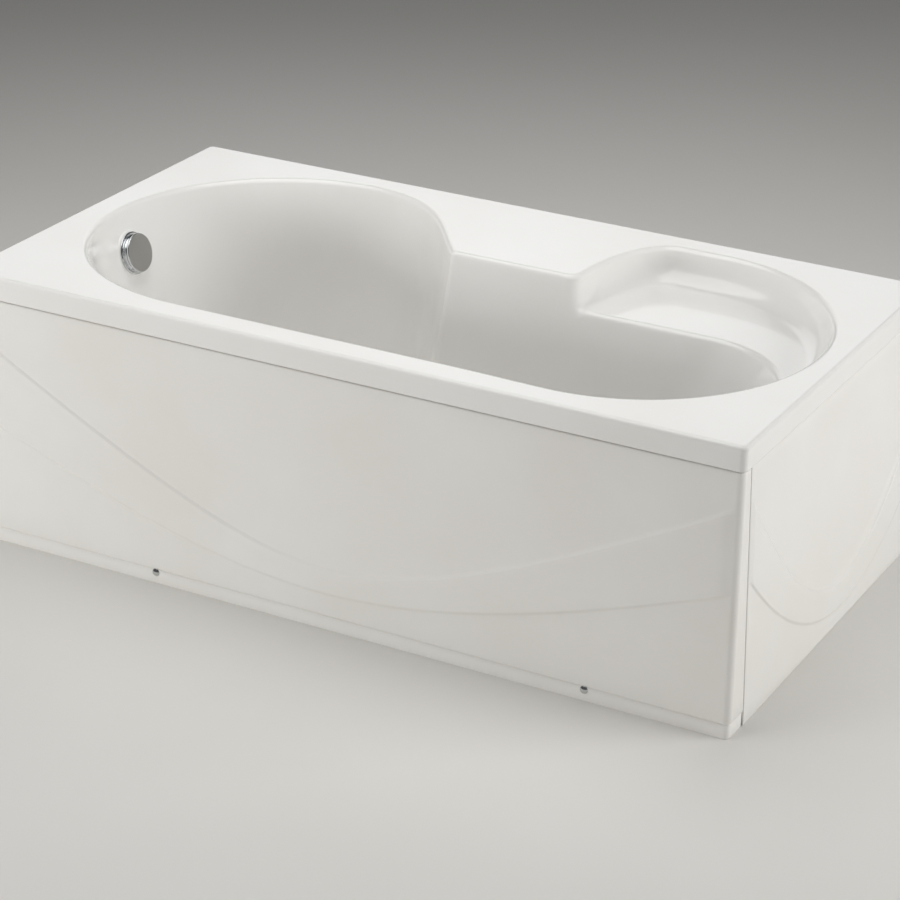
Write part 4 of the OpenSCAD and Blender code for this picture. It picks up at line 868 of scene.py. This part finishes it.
# Feet
def hex_nut(low, high, corner, bore):
    """A six-sided nut, its corners at the given radius, cut by a 30 degree cone at both ends."""
    flat = corner * math.sqrt(3) / 2
    z = np.array([0, 0, 0.06, 0.16, 0.5, 0.84, 0.94, 1, 1, 0.9, 0.1]) * (high - low) + low
    r = np.array([0.5, 3, 3, 3, 3, 3, 3, 3, 0.5, 0, 0]) * MM + bore

    def hexed(radius, a, height):
        side = flat / np.cos(a % (math.pi / 3) - math.pi / 6)
        cone = flat * 0.96 + np.minimum(height - low, high - height) * 1.75
        return np.where(radius > bore + MM, np.minimum(side, cone), radius)
    return turned(np.stack([r, z], 1), 48, hexed)


def threaded_rod(r, low, high, pitch=1.75 * MM, depth=0.9 * MM):
    """A screw thread: the radius falls and rises once a pitch, and the wave climbs as it turns."""
    z = np.linspace(low, high, int((high - low) / pitch * 6))
    a = steps(20, 0, 2 * math.pi)[None, :]
    wave = np.abs(((z[:, None] / pitch - a / (2 * math.pi)) % 1) * 2 - 1)
    ends = smooth(np.minimum(z - low, high - z)[:, None] / (1.5 * MM))
    radius = r - depth * np.clip(wave * 1.3 - 0.15, 0, 1) - 0.8 * MM * (1 - ends)
    rows = np.stack([radius * np.cos(a), radius * np.sin(a), np.repeat(z[:, None], 20, 1)], 2)
    poles = [np.broadcast_to([0, 0, v], (1, 20, 3)) for v in (low, high)]
    return loop_shell(np.concatenate([poles[0], rows, poles[1]]))


def ribbed(r, a, z):
    """Twelve shallow ribs on the pad's cone."""
    rib = smooth(np.cos(12 * a) * 2 - 0.9) * smooth((z - 7 * MM) / MM) * smooth((13 * MM - z) / MM)
    return np.where(r > 7 * MM, r + 0.8 * MM * rib, r)


pad_profile = rounded([[0, 0], [24, 0], [24, 7], [18, 7], [12, 14], [6.05, 14], [6.05, 6], [0, 6]],
                      [0, 0.8, 1.5, 2, 1.2, 0.3, 0, 0], 5) * MM
for k in range(1, 5):
    at, body = middle_of("foot_rod_%d" % k) * [1, 1, 0], "foot_%d" % k
    rod_low, rod_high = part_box("foot_rod_%d" % k)
    nut_low, nut_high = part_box("foot_lock_nut_%d" % k)
    piece("levelling_rod_%d" % k, [placed(threaded_rod(6 * MM, rod_low.z, rod_high.z), at)],
          [ZINC], body, ["foot_rod_%d" % k], sharp=60)
    piece("lock_nut_%d" % k, [placed(hex_nut(nut_low.z, nut_high.z, 10.5 * MM, 6.05 * MM), at)],
          [ZINC], body, ["foot_lock_nut_%d" % k], sharp=25)
    piece("floor_pad_%d" % k, [placed(turned(pad_profile, 96, ribbed), at)], [BLACK_PLASTIC],
          body, ["foot_pad_%d" % k], sharp=40)
weld_low, weld_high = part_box("weld_nuts")
piece("bar_nuts", [placed(hex_nut(weld_low.z, weld_high.z, 10.5 * MM, 6.05 * MM),
                          middle_of("foot_rod_%d" % k) * [1, 1, 0]) for k in range(1, 5)],
      [PRIMER], "tub", ["weld_nuts"], sharp=25)

# Overflow hose: down from the overflow, a quarter bend and along to the waste
HOSE_R, HOSE_BEND, HOSE_WALL, RIB_PITCH, RIB_H = 16 * MM, 150 * MM, 3 * MM, 7 * MM, 1.8 * MM
hose_low, hose_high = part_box("overflow_hose")
HOSE_X, INLET_Z = hose_low.x + HOSE_R, hose_low.z + HOSE_R
HOSE_DROP = hose_high.z - INLET_Z - HOSE_BEND
HOSE_L = HOSE_DROP + HOSE_BEND * math.pi / 2 + hose_high.x - HOSE_X - HOSE_BEND


def hose_rings(s, radius, count):
    """Rings square to the route, at the distances s along it and with a radius for each."""
    a = np.clip((s - HOSE_DROP) / HOSE_BEND, 0, math.pi / 2)[:, None]
    along = np.maximum(s - HOSE_DROP - HOSE_BEND * math.pi / 2, 0)[:, None]
    x = HOSE_X + HOSE_BEND * (1 - np.cos(a)) + along
    z = hose_high.z - np.minimum(s, HOSE_DROP)[:, None] - HOSE_BEND * np.sin(a)
    b, r = steps(count, 0, 2 * math.pi)[None, :], radius[:, None]
    return np.stack([x + r * np.cos(b) * np.cos(a), r * np.sin(b) + 0 * x,
                     z + r * np.cos(b) * np.sin(a)], 2)


def ribbed_hose():
    """Round ribs between two smooth cuffs: the groove between two ribs is cos^4 deep; open bore."""
    ribs = int((HOSE_L - 4 * HOSE_R) / RIB_PITCH)
    cuff = (HOSE_L - ribs * RIB_PITCH) / 2
    s = np.linspace(cuff, HOSE_L - cuff, ribs * 8 + 1)
    groove = RIB_H * np.cos((s - cuff) / RIB_PITCH * math.pi) ** 4
    outside = np.concatenate([[0, cuff - MM], s, [HOSE_L - cuff + MM, HOSE_L]])
    radius = HOSE_R - np.concatenate([[0, 0], groove, [0, 0]])
    bore = np.full(40, HOSE_R - HOSE_WALL)
    return loop_shell(hose_rings(np.concatenate([outside, np.linspace(HOSE_L, 0, 40)]),
                                 np.concatenate([radius, bore]), 36))


piece("ribbed_hose", [ribbed_hose()], [WHITE_PLASTIC], "tub",
      ["overflow_hose"], sharp=50)

# Slip nuts with twelve shallow flutes for the fingers
NUT_WALL = 5 * MM
for node, name, axis in (("hose_nut_top", "hose_nut_upper", 2),
                         ("hose_nut_bottom", "hose_nut_lower", 0),
                         ("outlet_nut", "outlet_slip_nut", 1)):
    low, high = (np.array(v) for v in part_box(node))
    half = (high - low)[axis] / 2
    outer = (high - low)[axis - 1] / 2
    inner = outer - NUT_WALL

    def fluted(r, a, z):
        """The radius falls in twelve grooves where it is the outer one."""
        return np.where(r > inner + 3 * MM, r - 0.9 * MM * smooth(np.cos(12 * a) * 2 - 0.6), r)
    nut = rounded(np.array([[inner, -half], [outer, -half], [outer, half], [inner, half]]),
                  np.array([0.4, 1.5, 2.2, 0.4]) * MM, 5)
    piece(name, [placed(turned(nut, 120, fluted), (low + high) / 2, np.eye(3)[axis])],
          [BLACK_PLASTIC], "tub", [node], sharp=50)

# Stage: a plain pale floor, soft light and the camera
floor_mesh = bpy.data.meshes.new("studio_floor")
reach = 14.0
floor_mesh.from_pydata([(-reach, -reach, 0), (reach, -reach, 0), (reach, reach, 0),
                        (-reach, reach, 0)], [], [(0, 1, 2, 3)])
floor_mesh.materials.append(clouded("pale_studio_floor", ("#e9e7e3", "#e4e2dd"), 1.5, (0.5, 0.6),
                                    0.01, 0.05 * MM))
studio_floor = bpy.data.objects.new("studio_floor", floor_mesh)
bpy.context.scene.collection.objects.link(studio_floor)


def soft_light(name, at, aim, width, height, power, spread=180, mirrored=True):
    """A rectangular area light at a place, turned towards another, its width level.

    One that isn't mirrored lights the tub but is left out of its gloss.
    """
    lamp = bpy.data.lights.new(name, "AREA")
    lamp.shape, lamp.size, lamp.size_y, lamp.energy = "RECTANGLE", width, height, power
    lamp.spread = math.radians(spread)
    made = bpy.data.objects.new(name, lamp)
    made.visible_glossy = mirrored
    bpy.context.scene.collection.objects.link(made)
    back = unit(np.array(at, float) - np.array(aim, float))
    side = unit(np.cross([0.001, 0, 1], back))
    turn = np.eye(4)
    turn[:3, :3] = np.stack([side, np.cross(back, side), back], 1)
    turn[:3, 3] = at
    made.matrix_world = Matrix(turn.tolist())


# One softbox behind the tub, which the camera sees mirrored in the deck; one in front and one at
# the head end for the panels, both left out of the gloss; one overhead that fills the basin
soft_light("back_softbox", (-2.0, 3.6, 2.3), (0, 0, 0.5), 3.4, 1.6, 4.2, 80)
soft_light("front_softbox", (-2.6, -3.5, 1.0), (-0.3, -0.2, 0.3), 3.0, 1.1, 88, mirrored=False)
soft_light("head_end_softbox", (3.8, 0.7, 1.6), (0.5, 0.1, 0.25), 2.6, 2.0, 90, mirrored=False)
soft_light("overhead_softbox", (-0.3, -0.2, 2.7), (-0.1, 0.05, 0.4), 2.4, 2.4, 38)
world = bpy.data.worlds.new("studio_grey")
world.use_nodes = True
world.node_tree.nodes["Background"].inputs["Color"].default_value = linear("#d8d9da")
world.node_tree.nodes["Background"].inputs["Strength"].default_value = 0.13
bpy.context.scene.world = world
bpy.context.scene.view_settings.view_transform = "Standard"

# The photograph's camera
CAMERA_AT = (2.263131, -4.142101, 2.346494)
CAMERA_TURN, CAMERA_RISE, CAMERA_ROLL = (math.radians(v) for v in (28.489, 24.589, 0.752))
FOCAL_PX, IMAGE_PX = 2876.97, 900
back = np.array([math.sin(CAMERA_TURN) * math.cos(CAMERA_RISE),
                 -math.cos(CAMERA_TURN) * math.cos(CAMERA_RISE), math.sin(CAMERA_RISE)])
side = np.array([math.cos(CAMERA_TURN), math.sin(CAMERA_TURN), 0])
c, s = math.cos(CAMERA_ROLL), math.sin(CAMERA_ROLL)
view = np.array([[c, s, 0], [-s, c, 0], [0, 0, 1]]) @ np.stack([side, np.cross(back, side), back])
matrix = np.eye(4)
matrix[:3, :3], matrix[:3, 3] = view.T, CAMERA_AT
lens = bpy.data.cameras.new("photo_camera")
lens.sensor_width, lens.sensor_fit, lens.clip_end = 36.0, "HORIZONTAL", 60
lens.lens = FOCAL_PX / IMAGE_PX * lens.sensor_width
camera = bpy.data.objects.new("photo_camera", lens)
bpy.context.scene.collection.objects.link(camera)
camera.matrix_world = Matrix(matrix.tolist())
bpy.context.scene.camera = camera
